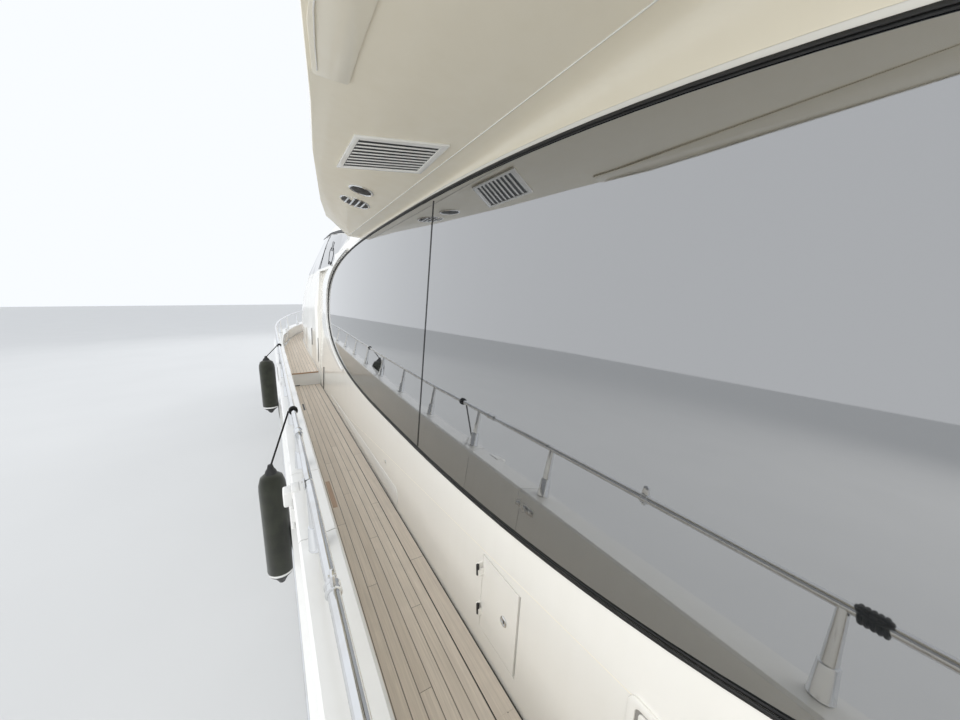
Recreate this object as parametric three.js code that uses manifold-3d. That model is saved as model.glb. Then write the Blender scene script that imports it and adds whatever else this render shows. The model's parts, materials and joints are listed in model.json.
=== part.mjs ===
import * as THREE from 'three';
import { mergeVertices } from 'three/addons/utils/BufferGeometryUtils.js';
import Module from 'manifold-3d';

const wasm = await Module();
wasm.setup();

// A flybridge motor yacht. Millimetres, +X to the bow, +Y to port, +Z up.
// The origin is on the centreline at the waterline, near midship.

// Gap that parts resting on each other keep, and the wider one between moving parts.
const GAP = 0.3;
const MOVING_GAP = 6;

// Hull
const BOW_X = 13800;
const TRANSOM_X = -11400;
const HALF_BEAM = 3150;
const BOW_CURVE_X = 5600;
const BOW_CURVE_POWER = 2.2;
const STERN_HALF = 2980;
const KEEL_Z = -1350;
const DECK_Z = 1850;

// Bulwark, its cap and the guard rail above it
const BULWARK_THICK = 140;
const CAP_WIDTH = 190;
const CAP_OUT = 25;
const CAP_THICK = 55;
const CAP_Z = 2400;
const BOW_CAP_RISE = 500;
const RAIL_ABOVE_CAP = 330;
const RAIL_RADIUS = 19;
const RAIL_INSET = 45;
const SOCKET = { foot: 40, mouth: 31, high: 122, post: 24 };
const SHEER_START_X = 0;

// Gate in the bulwark on each side
const GATE_AFT_X = -2130;
const GATE_FORE_X = -1340;
const GATE_SILL_Z = 1915;

// Decks
const TEAK_THICK = 18;
const TEAK_OUT_INSET = 165;
const STEP_X = 3850;
const FOREDECK_Z = 2105;
const FOREDECK_RISE = 0.055;
const AFT_DECK_X = -11250;

// Deck house
const HOUSE_AFT_X = -7600;
const WALL_BASE_Y = 2425;
const WALL_SILL_Y = 2364;
const WALL_SILL_Z = 2610;
const WALL_TOP_Y = 2200;
const WALL_TOP_Z = 4290;
const WALL_THICK = 80;
const WALL_TILT = 0.07;
// The knuckle of the wall sinks towards the bow: [x, z]
const KNUCKLE = [[-7600, 2560], [-4400, 2560], [2200, 1900], [STEP_X, 1900]];

// Eye-shaped side window
const EYE_X = -700;
const EYE_Z = 3556;
const EYE_FORE = 3780;
const EYE_AFT = 3900;
const EYE_UP = 720;
const EYE_DOWN = 1026;
const GLASS_THICK = 14;

// Flybridge deck, whose edge hangs out over the side decks
const SOFFIT_Z = 4310;
const LIP_Z = 4460;
const FLY_DECK_Z = 4650;
const FLY_FORE_X = 650;
const FLY_FRONT_X = 640;

// Pilothouse
const ROOF_Z = 5000;
const RAKE_START_X = 5300;
const RAKE = 0.46;
const FRONT_CURVE = 0.00017;

// Running gear
const SHAFT_Y = 1150;
const PROP_X = -9150;
const PROP_Z = -1180;
const PROP_RADIUS = 430;
const RUDDER_X = -10150;
const RUDDER_TOP = -760;
const SHAFT_TILT = 0.122;
const STRUT_AFT = 390;
const STRUT_TOP = -560;
const STRUT_HALF = 22;

const paint = (color, roughness, metalness) =>
  new THREE.MeshStandardMaterial({ color, roughness, metalness });
const white = () => paint(0xece9e0, 0.25, 0.0);
const cream = () => paint(0xe2ddd0, 0.4, 0.0);
const beige = () => paint(0xcfc4ac, 0.55, 0.0);
const teak = () => paint(0xb9a288, 0.75, 0.0);
const glass = () => paint(0x0b0d10, 0.05, 0.1);
const steel = () => paint(0xd6d8da, 0.15, 1.0);
const bronze = () => paint(0xa9834a, 0.35, 1.0);
const black = () => paint(0x1b1c1d, 0.6, 0.0);
const fabric = () => paint(0xe6e0d2, 0.9, 0.0);

const yacht = new THREE.Group();

function add(name, geometry, material) {
  const mesh = new THREE.Mesh(geometry, material);
  mesh.name = name;
  yacht.add(mesh);
  return mesh;
}

// Solids: joining and cutting

function plain(geometry) {
  const copy = geometry.clone();
  copy.deleteAttribute('normal');
  copy.deleteAttribute('uv');
  return mergeVertices(copy, 0.001);
}

function solid(geometry) {
  const merged = plain(geometry);
  const positions = merged.attributes.position.array;
  const mesh = new wasm.Mesh({
    numProp: 3,
    vertProperties: new Float32Array(positions),
    triVerts: new Uint32Array(merged.index.array),
  });
  return new wasm.Manifold(mesh);
}

function geometryOf(manifold) {
  const mesh = manifold.getMesh();
  const geometry = new THREE.BufferGeometry();
  geometry.setAttribute('position', new THREE.BufferAttribute(mesh.vertProperties, 3));
  geometry.setIndex(new THREE.BufferAttribute(mesh.triVerts, 1));
  return geometry;
}

function join(...geometries) {
  return geometryOf(geometries.map(solid).reduce((sum, next) => sum.add(next)));
}

function cut(base, ...tools) {
  return geometryOf(tools.map(solid).reduce((rest, tool) => rest.subtract(tool), solid(base)));
}

function common(...geometries) {
  return geometryOf(geometries.map(solid).reduce((sum, next) => sum.intersect(next)));
}

// Plain forms

function box(low, high) {
  const geometry = new THREE.BoxGeometry(high[0] - low[0], high[1] - low[1], high[2] - low[2]);
  geometry.translate((low[0] + high[0]) / 2, (low[1] + high[1]) / 2, (low[2] + high[2]) / 2);
  return geometry;
}

function rod(start, end, radius, endRadius = radius, sides = 10) {
  const from = new THREE.Vector3(...start);
  const along = new THREE.Vector3(...end).sub(from);
  const geometry = new THREE.CylinderGeometry(endRadius, radius, along.length(), sides);
  geometry.translate(0, along.length() / 2, 0);
  const turn = new THREE.Quaternion();
  turn.setFromUnitVectors(new THREE.Vector3(0, 1, 0), along.clone().normalize());
  geometry.applyQuaternion(turn);
  geometry.translate(from.x, from.y, from.z);
  return geometry;
}

function tube(points, radius, steps, sides = 8) {
  const path = new THREE.CatmullRomCurve3(points.map((point) => new THREE.Vector3(...point)));
  const ring = new THREE.Shape();
  ring.absarc(0, 0, radius, 0, Math.PI * 2);
  const options = { steps, curveSegments: sides / 2, extrudePath: path };
  return new THREE.ExtrudeGeometry(ring, options);
}

// A closed skin through sections with equal numbers of [x, y, z] points, ends capped.
function loft(sections) {
  const count = sections[0].length;
  const positions = [];
  const index = [];
  sections.forEach((section) => section.forEach((point) => positions.push(...point)));
  for (let ring = 0; ring < sections.length - 1; ring += 1) {
    for (let side = 0; side < count; side += 1) {
      const next = (side + 1) % count;
      const here = ring * count;
      const there = here + count;
      index.push(here + side, here + next, there + side);
      index.push(here + next, there + next, there + side);
    }
  }
  const cap = (section, start, flip) => {
    const origin = new THREE.Vector3(...section[0]);
    const normal = new THREE.Vector3();
    section.forEach((point, i) => {
      const next = section[(i + 1) % count];
      const a = new THREE.Vector3(...point).sub(origin);
      const b = new THREE.Vector3(...next).sub(origin);
      normal.add(a.cross(b));
    });
    normal.normalize();
    const level = Math.abs(normal.z) > 0.9 ? new THREE.Vector3(1, 0, 0) : new THREE.Vector3(0, 0, 1);
    const across = level.cross(normal).normalize();
    const up = normal.clone().cross(across);
    const flat = section.map((point) => {
      const at = new THREE.Vector3(...point).sub(origin);
      return new THREE.Vector2(at.dot(across), at.dot(up));
    });
    THREE.ShapeUtils.triangulateShape(flat, []).forEach(([a, b, c]) => {
      if (flip) index.push(start + a, start + c, start + b);
      else index.push(start + a, start + b, start + c);
    });
  };
  cap(sections[0], 0, true);
  cap(sections[sections.length - 1], (sections.length - 1) * count, false);
  const geometry = new THREE.BufferGeometry();
  geometry.setAttribute('position', new THREE.Float32BufferAttribute(positions, 3));
  geometry.setIndex(index);
  return volume(geometry) > 0 ? geometry : turned(geometry);
}

function volume(geometry) {
  const positions = geometry.attributes.position;
  const corner = (i) => new THREE.Vector3().fromBufferAttribute(positions, geometry.index.getX(i));
  let sum = 0;
  for (let i = 0; i < geometry.index.count; i += 3) {
    sum += corner(i).dot(corner(i + 1).cross(corner(i + 2))) / 6;
  }
  return sum;
}

function turned(geometry) {
  const index = Array.from(geometry.index.array);
  for (let i = 0; i < index.length; i += 3) {
    [index[i + 1], index[i + 2]] = [index[i + 2], index[i + 1]];
  }
  geometry.setIndex(index);
  return geometry;
}

// The same form on the other side of the boat.
function mirrored(geometry) {
  const copy = plain(geometry);
  copy.scale(1, -1, 1);
  return turned(copy);
}

// An outline seen from the side, [x, z], stretched across the boat from y to y.
function sidePrism(outline, yLow, yHigh) {
  return loft([
    outline.map(([x, z]) => [x, yLow, z]),
    outline.map(([x, z]) => [x, yHigh, z]),
  ]);
}

// An outline seen from above, [x, y], raised from z to z.
function planPrism(outline, zLow, zHigh) {
  return loft([
    outline.map(([x, y]) => [x, y, zLow]),
    outline.map(([x, y]) => [x, y, zHigh]),
  ]);
}

function range(from, to, count) {
  return Array.from({ length: count }, (_, i) => from + ((to - from) * i) / (count - 1));
}

const lerp = THREE.MathUtils.lerp;
const clamp01 = (value) => THREE.MathUtils.clamp(value, 0, 1);

// Straight-line reading of a table of [place, value] rows.
function read(table, place) {
  const last = table.length - 1;
  if (place <= table[0][0]) return table[0][1];
  if (place >= table[last][0]) return table[last][1];
  const i = table.findIndex((row) => row[0] > place);
  const part = (place - table[i - 1][0]) / (table[i][0] - table[i - 1][0]);
  return lerp(table[i - 1][1], table[i][1], part);
}

// Plan and profile curves of the hull

function planHalf(x) {
  const bow = clamp01((x - BOW_CURVE_X) / (BOW_X - BOW_CURVE_X));
  const stern = clamp01((-3000 - x) / (-3000 - TRANSOM_X));
  return (HALF_BEAM - (HALF_BEAM - STERN_HALF) * stern ** 2) * (1 - bow ** BOW_CURVE_POWER);
}

function planSlope(x) {
  return (planHalf(x + 5) - planHalf(x - 5)) / 10;
}

// Half-breadth of a line that runs inside the hull edge at an even distance.
function insetHalf(x, inset) {
  return planHalf(x) - inset * Math.sqrt(1 + planSlope(x) ** 2);
}

// Where that inside line meets the centreline.
function insetBow(inset) {
  let low = BOW_CURVE_X;
  let high = BOW_X;
  for (let i = 0; i < 40; i += 1) {
    const middle = (low + high) / 2;
    if (insetHalf(middle, inset) > 0) low = middle;
    else high = middle;
  }
  return low;
}

// Height of the bulwark cap: [x, z]
const sheer = [[SHEER_START_X, CAP_Z], [2500, CAP_Z + 50], [5500, CAP_Z + 150], [8500, CAP_Z + 270],
  [11500, CAP_Z + 400], [BOW_X, CAP_Z + BOW_CAP_RISE]];
const capZ = (x) => read(sheer, x);
const railZ = (x) => capZ(x) + RAIL_ABOVE_CAP + 90 * clamp01((x - 7000) / 6000);
const foredeckZ = (x) => FOREDECK_Z + FOREDECK_RISE * Math.max(0, x - STEP_X);

// A strip that follows the hull edge on the port side. profile(x) gives [out, z] points.
function strip(profile, xFrom, xTo, count) {
  const atBow = xTo >= BOW_X;
  const even = range(0, 1, count).map((part) => (
    lerp(xFrom, Math.min(xTo, BOW_X - 1), atBow ? 1 - (1 - part) ** 1.35 : part)));
  const knots = sheer.map((row) => row[0]).filter((x) => x > xFrom + 1 && x < xTo - 1);
  const places = [...even, ...knots].sort((a, b) => a - b);
  return loft(places.map((x, i) => {
    const slope = planSlope(x);
    const size = Math.hypot(1, slope);
    const out = [-slope / size, 1 / size];
    const mitre = atBow && i === places.length - 1;
    return profile(x).map(([distance, z]) => {
      if (mitre) return [BOW_X + distance / out[0], GAP / 2, z];
      return [x + out[0] * distance, planHalf(x) + out[1] * distance, z];
    });
  }));
}

// Hull: keel, chine, flared topside and flat deck, as sections across the boat

const hullStations = [
  -11400, -9500, -7000, -4000, -1000, 2000, 4500, 6500, 8200, 9600, 10800, 11800, 12600, 13200, 13600, 13790,
];

function hullSection(x) {
  const aftRise = clamp01((-6000 - x) / 5400);
  const fore = clamp01((x - 5000) / 7500);
  const keel = Math.min(KEEL_Z + 420 * aftRise + 1350 * ((Math.max(x, 5000) - 5000) / 7500) ** 5, 1790);
  const chineHalf = Math.max(2800 * (1 - clamp01(x / 12700) ** 2.3), 10);
  const chineZ = Math.max(-60 + 900 * clamp01((x - 1500) / 11000) ** 1.6, keel + 12);
  const edge = Math.max(planHalf(x), 14);
  const flare = 0.5 - 0.16 * fore;
  const middleZ = (chineZ + DECK_Z) / 2;
  const half = [
    [0, keel],
    [chineHalf * 0.55, lerp(keel, chineZ, 0.55)],
    [chineHalf, chineZ],
    [chineHalf + 8 + (edge - chineHalf) * 0.1, chineZ + 40 * (1 - fore)],
    [lerp(chineHalf, edge, flare), middleZ],
    [edge - 6, DECK_Z - 190],
    [edge, DECK_Z],
  ].map(([y, z], i) => [Math.min(y, edge + 4), i > 2 ? Math.max(z, chineZ + i) : z]);
  const other = half.slice(1).reverse().map(([y, z]) => [-y, z]);
  return [...half, ...other].map(([y, z]) => [x, y, z]);
}

const hullBody = loft(hullStations.map(hullSection));
// What carries a shaft and a rudder under the hull
const alongShaft = (distance) => [
  PROP_X + distance * Math.cos(SHAFT_TILT),
  PROP_Z + distance * Math.sin(SHAFT_TILT),
];
const underwaterGear = (side) => {
  const y = side * SHAFT_Y;
  const [aftX, aftZ] = alongShaft(STRUT_AFT);
  const [foreX, foreZ] = alongShaft(STRUT_AFT + 200);
  const [engineX, engineZ] = alongShaft(4300);
  return [
    sidePrism(
      [[aftX + 40, STRUT_TOP], [aftX + 240, STRUT_TOP], [foreX - 20, foreZ], [aftX + 20, aftZ]],
      y - STRUT_HALF,
      y + STRUT_HALF,
    ),
    rod([aftX, y, aftZ], [foreX, y, foreZ], 62, 62, 12),
    rod([foreX, y, foreZ], [engineX, y, engineZ], 42, 42, 10),
    rod([RUDDER_X, y, -400], [RUDDER_X, y, RUDDER_TOP], 62, 62, 12),
  ];
};
const rubRail = strip(() => [[-30, 1690], [50, 1712], [50, 1808], [-30, 1830]], TRANSOM_X + 60, BOW_X, 16);
add('hull', join(hullBody, ...underwaterGear(1), ...underwaterGear(-1), rubRail, mirrored(rubRail)), white());

// Bulwarks with cap, cut by the side gates

function bulwarkProfile(x) {
  const top = capZ(x);
  return [
    [0, DECK_Z + GAP], [0, top - CAP_THICK], [CAP_OUT, top - CAP_THICK], [CAP_OUT, top - 12],
    [CAP_OUT - 12, top], [CAP_OUT - CAP_WIDTH + 12, top], [CAP_OUT - CAP_WIDTH, top - 12],
    [CAP_OUT - CAP_WIDTH, top - CAP_THICK], [-BULWARK_THICK, top - CAP_THICK], [-BULWARK_THICK, DECK_Z + GAP],
  ];
}

// The space that the bulwark takes, grown inwards by a margin
function bulwarkSpace(margin) {
  const inner = -BULWARK_THICK - margin;
  const profile = () => [[60, DECK_Z - 100], [60, 3400], [inner, 3400], [inner, DECK_Z - 100]];
  return strip(profile, AFT_DECK_X, BOW_X, 22);
}

const HINGE = { x: GATE_FORE_X + 3, y: HALF_BEAM + 35, radius: 14, low: 2050, high: 2150 };
const hingeLeaf = (xLow, xHigh, zLow, zHigh) => [
  box([xLow, HALF_BEAM - 12, zLow], [xHigh, HINGE.y + 4, zHigh]),
  rod([HINGE.x, HINGE.y, zLow], [HINGE.x, HINGE.y, zHigh], HINGE.radius, HINGE.radius, 12),
];
// The latch end of the gate is round about its hinge, and the opening's end follows it
const latchRadius = HINGE.x - GATE_AFT_X;
const latchSweep = (radius) => {
  const round = new THREE.CylinderGeometry(radius, radius, 1400, 96);
  round.rotateX(Math.PI / 2);
  round.translate(HINGE.x, HINGE.y, CAP_Z);
  return round;
};
const notchSpace = common(
  box(
    [GATE_AFT_X - 60, HALF_BEAM - 260, GATE_SILL_Z - MOVING_GAP],
    [GATE_FORE_X + MOVING_GAP, HALF_BEAM + 90, CAP_Z + 200],
  ),
  latchSweep(latchRadius + MOVING_GAP + 1),
);
const bulwark = join(
  cut(strip(bulwarkProfile, AFT_DECK_X, BOW_X, 22), notchSpace),
  ...hingeLeaf(HINGE.x + 4, HINGE.x + 14, HINGE.low - 50, HINGE.low - GAP),
  ...hingeLeaf(HINGE.x + 4, HINGE.x + 14, HINGE.high + GAP, HINGE.high + 50),
);
add('bulwark_port', bulwark, white());
add('bulwark_starboard', mirrored(bulwark), white());

function gateProfile(x) {
  const profile = bulwarkProfile(x);
  profile[0] = [0, GATE_SILL_Z];
  profile[profile.length - 1] = [-BULWARK_THICK, GATE_SILL_Z];
  return profile;
}

const gate = join(
  common(strip(gateProfile, GATE_AFT_X - 40, GATE_FORE_X, 2), latchSweep(latchRadius)),
  ...hingeLeaf(HINGE.x - 14, HINGE.x - 4, HINGE.low, HINGE.high),
);
add('gate_port', gate, white());
add('gate_starboard', mirrored(gate), white());

// Guard rail with stanchions; one bar over each gate lifts on a pivot

const railPoint = (x) => {
  const slope = planSlope(x);
  const size = Math.hypot(1, slope);
  return [x + (slope / size) * RAIL_INSET, planHalf(x) - RAIL_INSET / size, railZ(x)];
};

function stanchion(x) {
  const [px, py, top] = railPoint(x);
  const foot = capZ(x + 34) + GAP;
  return [
    rod([px, py - 8, foot], [px, py - 8, foot + SOCKET.high], SOCKET.foot, SOCKET.mouth, 8),
    rod([px, py - 8, foot + 20], [px, py, top], SOCKET.post, RAIL_RADIUS - 3, 6),
  ];
}

function rail(xFrom, xTo, steps, stanchions, extra = []) {
  const places = range(xFrom, xTo, steps + 1);
  const bar = tube(places.map(railPoint), RAIL_RADIUS, steps, 8);
  return join(bar, ...stanchions.flatMap(stanchion), ...extra);
}

const RAIL_PIVOT_X = -2166;
const RAIL_SLEEVE_X = -1490;
const pivotAt = railPoint(RAIL_PIVOT_X);
const cheek = [
  box(
    [RAIL_PIVOT_X - 74, pivotAt[1] + 10, pivotAt[2] - 13],
    [RAIL_PIVOT_X - 32, pivotAt[1] + 27, pivotAt[2] + 13],
  ),
  box(
    [RAIL_PIVOT_X - 33, pivotAt[1] + RAIL_RADIUS * Math.cos(Math.PI / 10) + GAP, pivotAt[2] - 13],
    [RAIL_PIVOT_X + 13, pivotAt[1] + 27, pivotAt[2] + 13],
  ),
];
const aftStanchions = [-10850, -9900, -8900, -7900, -6900, -5900, -4900, -3700, -2230];
const railAft = rail(-10900, RAIL_PIVOT_X - 34, 6, aftStanchions, cheek);
add('rail_port_aft', railAft, steel());
add('rail_starboard_aft', mirrored(railAft), steel());

const railForeStart = railPoint(RAIL_SLEEVE_X);
const sleeve = rod(railForeStart, [RAIL_SLEEVE_X + 90, railForeStart[1], railForeStart[2]], 25, 25, 10);
const railFore = rail(RAIL_SLEEVE_X, 13450, 18,
  [-1240, -200, 900, 2000, 3100, 4200, 5300, 6400, 7500, 8600, 9700, 10800, 11800, 12700], [sleeve]);
add('rail_port_fore', railFore, steel());
add('rail_starboard_fore', mirrored(railFore), steel());

const barStart = railPoint(RAIL_PIVOT_X - 16);
const barEnd = railPoint(RAIL_SLEEVE_X - MOVING_GAP);
const railBar = rod(barStart, barEnd, RAIL_RADIUS, RAIL_RADIUS, 10);
add('rail_bar_port', railBar, steel());
add('rail_bar_starboard', mirrored(railBar), steel());

// Teak decks

const teakOuter = (x) => insetHalf(x, TEAK_OUT_INSET);
const deckPlaces = range(AFT_DECK_X, STEP_X - 2, 12);
const mainTeakOutline = [
  ...deckPlaces.map((x) => [x, teakOuter(x)]),
  [STEP_X - 2, WALL_BASE_Y + 9],
  [HOUSE_AFT_X - 20, WALL_BASE_Y + 9],
  [HOUSE_AFT_X - 20, -WALL_BASE_Y - 9],
  [STEP_X - 2, -WALL_BASE_Y - 9],
  ...deckPlaces.slice().reverse().map((x) => [x, -teakOuter(x)]),
];
add('teak_main_deck', planPrism(mainTeakOutline, DECK_Z + GAP, DECK_Z + TEAK_THICK), teak());

// Raised foredeck

const foredeckPlaces = range(STEP_X, insetBow(60) - 30, 12);
const foredeckBody = loft(foredeckPlaces.map((x) => {
  const half = insetHalf(x, 60);
  const top = foredeckZ(x);
  return [[x, half, DECK_Z + GAP], [x, half, top], [x, -half, top], [x, -half, DECK_Z + GAP]];
}));
const deckEdge = bulwarkSpace(GAP);
const foredeck = cut(foredeckBody, deckEdge, mirrored(deckEdge));
add('foredeck', foredeck, white());

// Half-width of the trunk cabin that stands on the foredeck: [x, half]
const trunkHalf = [[3850, 2425], [6500, 2425], [8000, 2400], [8700, 2330], [9400, 2080], [10200, 1600],
  [11000, 1080], [11600, 640], [11850, 380]];

const foreTeakPlaces = [...range(STEP_X + 30, 10500, 9), 11500, 12100];
const foreTeak = loft([...foreTeakPlaces].map((x) => {
  const outer = insetHalf(x, 100);
  const top = foredeckZ(x);
  return [
    [x, outer, top + GAP], [x, outer, top + TEAK_THICK],
    [x, -outer, top + TEAK_THICK], [x, -outer, top + GAP],
  ];
}));
const trunkOutline = [
  [STEP_X - 100, 2440], ...trunkHalf.map(([x, half]) => [x, half + 12]),
  ...trunkHalf.slice().reverse().map(([x, half]) => [x, -half - 12]), [STEP_X - 100, -2440],
];
const teakEdge = bulwarkSpace(25);
const foreTeakCut = cut(foreTeak, planPrism(trunkOutline, 2000, 3500), teakEdge, mirrored(teakEdge));
add('teak_foredeck', foreTeakCut, teak());

// Trunk ahead of the windscreen: [x, top]
const PILOT_FORE_X = 8650;
const trunkTop = [[PILOT_FORE_X, 3430], [9000, 3290], [10200, 3010], [11200, 2860], [11850, 2760]];
const trunkPlaces = [PILOT_FORE_X + GAP, 9000, 9600, 10200, 10800, 11300, 11700, 11850];
const trunk = loft(trunkPlaces.map((x) => {
  const half = read(trunkHalf, x);
  const base = foredeckZ(x) + GAP;
  const top = read(trunkTop, x);
  const side = [
    [half, base], [half, lerp(base, top, 0.62)], [half - 60, lerp(base, top, 0.86)],
    [half - 190, top - 25], [half * 0.5, top + 30],
  ];
  const other = side.slice().reverse().map(([y, z]) => [-y, z]);
  return [...side, ...other].map(([y, z]) => [x, y, z]);
}));

const HATCH = { aft: 10300, fore: 10900, half: 330, frame: 25 };
const deckAtTrunk = (x) => read(trunkTop, x) + 30;
const hatchFrame = loft([HATCH.aft - 20, HATCH.fore + 20].map((x) => {
  const top = deckAtTrunk(x) + HATCH.frame;
  return [[x, 350, top - 200], [x, 350, top], [x, -350, top], [x, -350, top - 200]];
}));
add('trunk_cabin', join(trunk, hatchFrame), white());

// Saloon side walls with the eye-shaped window

function wallSection(x, knuckleZ, thick, out = 0) {
  const knuckleY = WALL_BASE_Y - WALL_TILT * (knuckleZ - DECK_Z);
  const outer = [[WALL_BASE_Y, DECK_Z + GAP], [knuckleY, knuckleZ], [WALL_SILL_Y, WALL_SILL_Z],
    [WALL_TOP_Y, WALL_TOP_Z]];
  const inner = outer.slice().reverse().map(([y, z]) => [x, y - thick, z]);
  return [...outer.map(([y, z]) => [x, y + out, z]), ...inner];
}

// Outline of the window grown by a margin, as [x, z]
function eyeOutline(grow, count = 12, foreGrow = grow) {
  const quarter = (along, up, power) => range(0, Math.PI / 2, count).map((angle) => [
    along * Math.cos(angle) ** (2 / power), up * Math.sin(angle) ** (2 / power),
  ]);
  const foreUp = quarter(EYE_FORE + foreGrow, EYE_UP + grow, 2.5);
  const aftUp = quarter(-EYE_AFT - grow, EYE_UP + grow, 2.5).reverse();
  const aftDown = quarter(-EYE_AFT - grow, -EYE_DOWN - grow, 3.0);
  const foreDown = quarter(EYE_FORE + foreGrow, -EYE_DOWN - grow, 2.3).reverse();
  return [...foreUp, ...aftUp.slice(1), ...aftDown.slice(1), ...foreDown.slice(1, -1)]
    .map(([x, z]) => [EYE_X + x, EYE_Z + z]);
}

// A plate along the whole side wall, from its outer face moved by out, inwards by thick.
function wallPlate(thick, out) {
  return loft(KNUCKLE.map(([x, z]) => wallSection(Math.min(x, STEP_X - GAP), z, thick, out)));
}

const wallBody = wallPlate(WALL_THICK, 0);
const wallHatch = { aft: -2930, fore: -2640, low: 1975, high: 2360, slack: 12 };
const hatchOutline = (margin, aftMargin = margin) => [
  [wallHatch.aft - aftMargin, wallHatch.low - margin], [wallHatch.fore + margin, wallHatch.low - margin],
  [wallHatch.fore + margin, wallHatch.high + margin], [wallHatch.aft - aftMargin, wallHatch.high + margin],
];
const PILOT_DROP = { x: 2450, z: 4100 };
const wall = cut(
  wallBody,
  box([PILOT_DROP.x - GAP, 1500, PILOT_DROP.z], [STEP_X + 50, 3000, WALL_TOP_Z + 100]),
  sidePrism(eyeOutline(0), 1500, 3000),
  sidePrism(hatchOutline(MOVING_GAP, wallHatch.slack), 2200, 3000),
);
// Two small hinges on the forward edge of the hatch; each has one lug on the lid and one on the wall
const hatchHinge = { x: wallHatch.fore + 3, y: 2424, radius: 7, places: [2045, 2265] };
const hatchLugs = (xLow, xHigh, drop, high) => hatchHinge.places.flatMap((z) => {
  const { x, y, radius } = hatchHinge;
  const lug = box([xLow, 2385, z + drop], [xHigh, y + 3, z + high]);
  return [lug, rod([x, y, z + drop], [x, y, z + high], radius, radius, 8)];
});
const wallWithLugs = join(wall, ...hatchLugs(hatchHinge.x + 3.5, hatchHinge.x + 14, 30 + GAP, 55));
add('side_wall_port', wallWithLugs, cream());
add('side_wall_starboard', mirrored(wallWithLugs), cream());

// The pane is flat, in the plane of the upper wall
const wallY = (z) => lerp(WALL_SILL_Y, WALL_TOP_Y, (z - WALL_SILL_Z) / (WALL_TOP_Z - WALL_SILL_Z));
const PANE_SUNK = 4;
const eyePane = loft([PANE_SUNK, PANE_SUNK + GLASS_THICK].map((depth) => (
  eyeOutline(-GAP).map(([x, z]) => [x, wallY(z) - depth, z]))));
add('eye_window_port', eyePane, glass());
add('eye_window_starboard', mirrored(eyePane), glass());

const hatchLid = common(wallPlate(24, 2), sidePrism(hatchOutline(0), 2300, 3000));
const lidWithLugs = join(hatchLid, ...hatchLugs(hatchHinge.x - 14, hatchHinge.x - 3.5, 0, 30));
add('side_hatch_port', lidWithLugs, cream());
add('side_hatch_starboard', mirrored(lidWithLugs), cream());

// Moulding that wraps the front of the window
const mould = cut(
  common(wallPlate(-GAP, 34), sidePrism(eyeOutline(30, 12, 700), 1500, 3000)),
  sidePrism(eyeOutline(24), 1500, 3000),
  box([-9000, 1500, 1000], [EYE_X + 2000, 3000, 5000]),
  box([PILOT_DROP.x - 60, 1500, PILOT_DROP.z - 4], [STEP_X, 3000, 5000]),
);
add('eye_moulding_port', mould, white());
add('eye_moulding_starboard', mirrored(mould), white());

// Aft bulkhead with its doorway and sliding door

const DOOR_HALF = 620;
const DOOR_TOP = 4000;
const bulkheadInset = WALL_THICK + 1;
const bulkheadOutline = [
  [WALL_BASE_Y - bulkheadInset, DECK_Z + GAP],
  [WALL_SILL_Y - bulkheadInset, WALL_SILL_Z],
  [WALL_TOP_Y - bulkheadInset, WALL_TOP_Z],
];
const bulkheadSection = (x) => [
  ...bulkheadOutline.map(([y, z]) => [x, y, z]),
  ...bulkheadOutline.slice().reverse().map(([y, z]) => [x, -y, z]),
];
const bulkhead = cut(
  loft([bulkheadSection(HOUSE_AFT_X), bulkheadSection(HOUSE_AFT_X + 60)]),
  box([HOUSE_AFT_X - 100, -DOOR_HALF, DECK_Z + 60], [HOUSE_AFT_X + 200, DOOR_HALF, DOOR_TOP]),
  box([HOUSE_AFT_X - 100, 800, 2300], [HOUSE_AFT_X + 200, 1900, DOOR_TOP]),
  box([HOUSE_AFT_X - 100, -1900, 2300], [HOUSE_AFT_X + 200, -800, DOOR_TOP]),
);
const doorTrack = box(
  [HOUSE_AFT_X - 60, -DOOR_HALF - 60, DOOR_TOP + 60 + GAP],
  [HOUSE_AFT_X + 10, 2000, DOOR_TOP + 110],
);
add('aft_bulkhead', join(bulkhead, doorTrack), cream());
const doorPane = box(
  [HOUSE_AFT_X - 46, -DOOR_HALF - 40, DECK_Z + 30],
  [HOUSE_AFT_X - MOVING_GAP, DOOR_HALF + 40, DOOR_TOP + 60],
);
add('saloon_door', doorPane, glass());

// Flybridge deck: [x, half-width of the lip]
const lipHalf = [[-10700, 2780], [-9800, 2960], [-7000, 3050], [-4000, 3085], [-2700, 3046], [-2100, 2963],
  [-1500, 2897], [-350, 2724], [330, 2590], [560, 2500], [650, 2330]];
const flyPlaces = [-10700, -10300, -9800, -7000, -4000, -2700, -2100, -1500, -350, 330, 560, FLY_FORE_X];
const CREASE_Y = 2320;
const flyDeck = loft(flyPlaces.map((x) => {
  const lip = read(lipHalf, x);
  const side = [
    [1900, SOFFIT_Z + 10], [WALL_TOP_Y + 10, SOFFIT_Z],
    [Math.min(CREASE_Y, lip - 8), SOFFIT_Z + 12], [lip, LIP_Z],
    [lip + 6, LIP_Z + 60], [lip - 60, FLY_DECK_Z - 20], [lip - 90, FLY_DECK_Z],
  ];
  const other = side.slice().reverse().map(([y, z]) => [-y, z]);
  return [...side, ...other].map(([y, z]) => [x, y, z]);
}));
const stairWell = box([-10100, -2360, SOFFIT_Z - 200], [-8350, -1650, FLY_DECK_Z + 200]);
add('flybridge_deck', cut(flyDeck, stairWell), beige());

// Pilothouse shell: flat sides that lean in, a raked front with a curved plan, a crowned roof

const PILOT_AFT_X = STEP_X + GAP;
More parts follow.
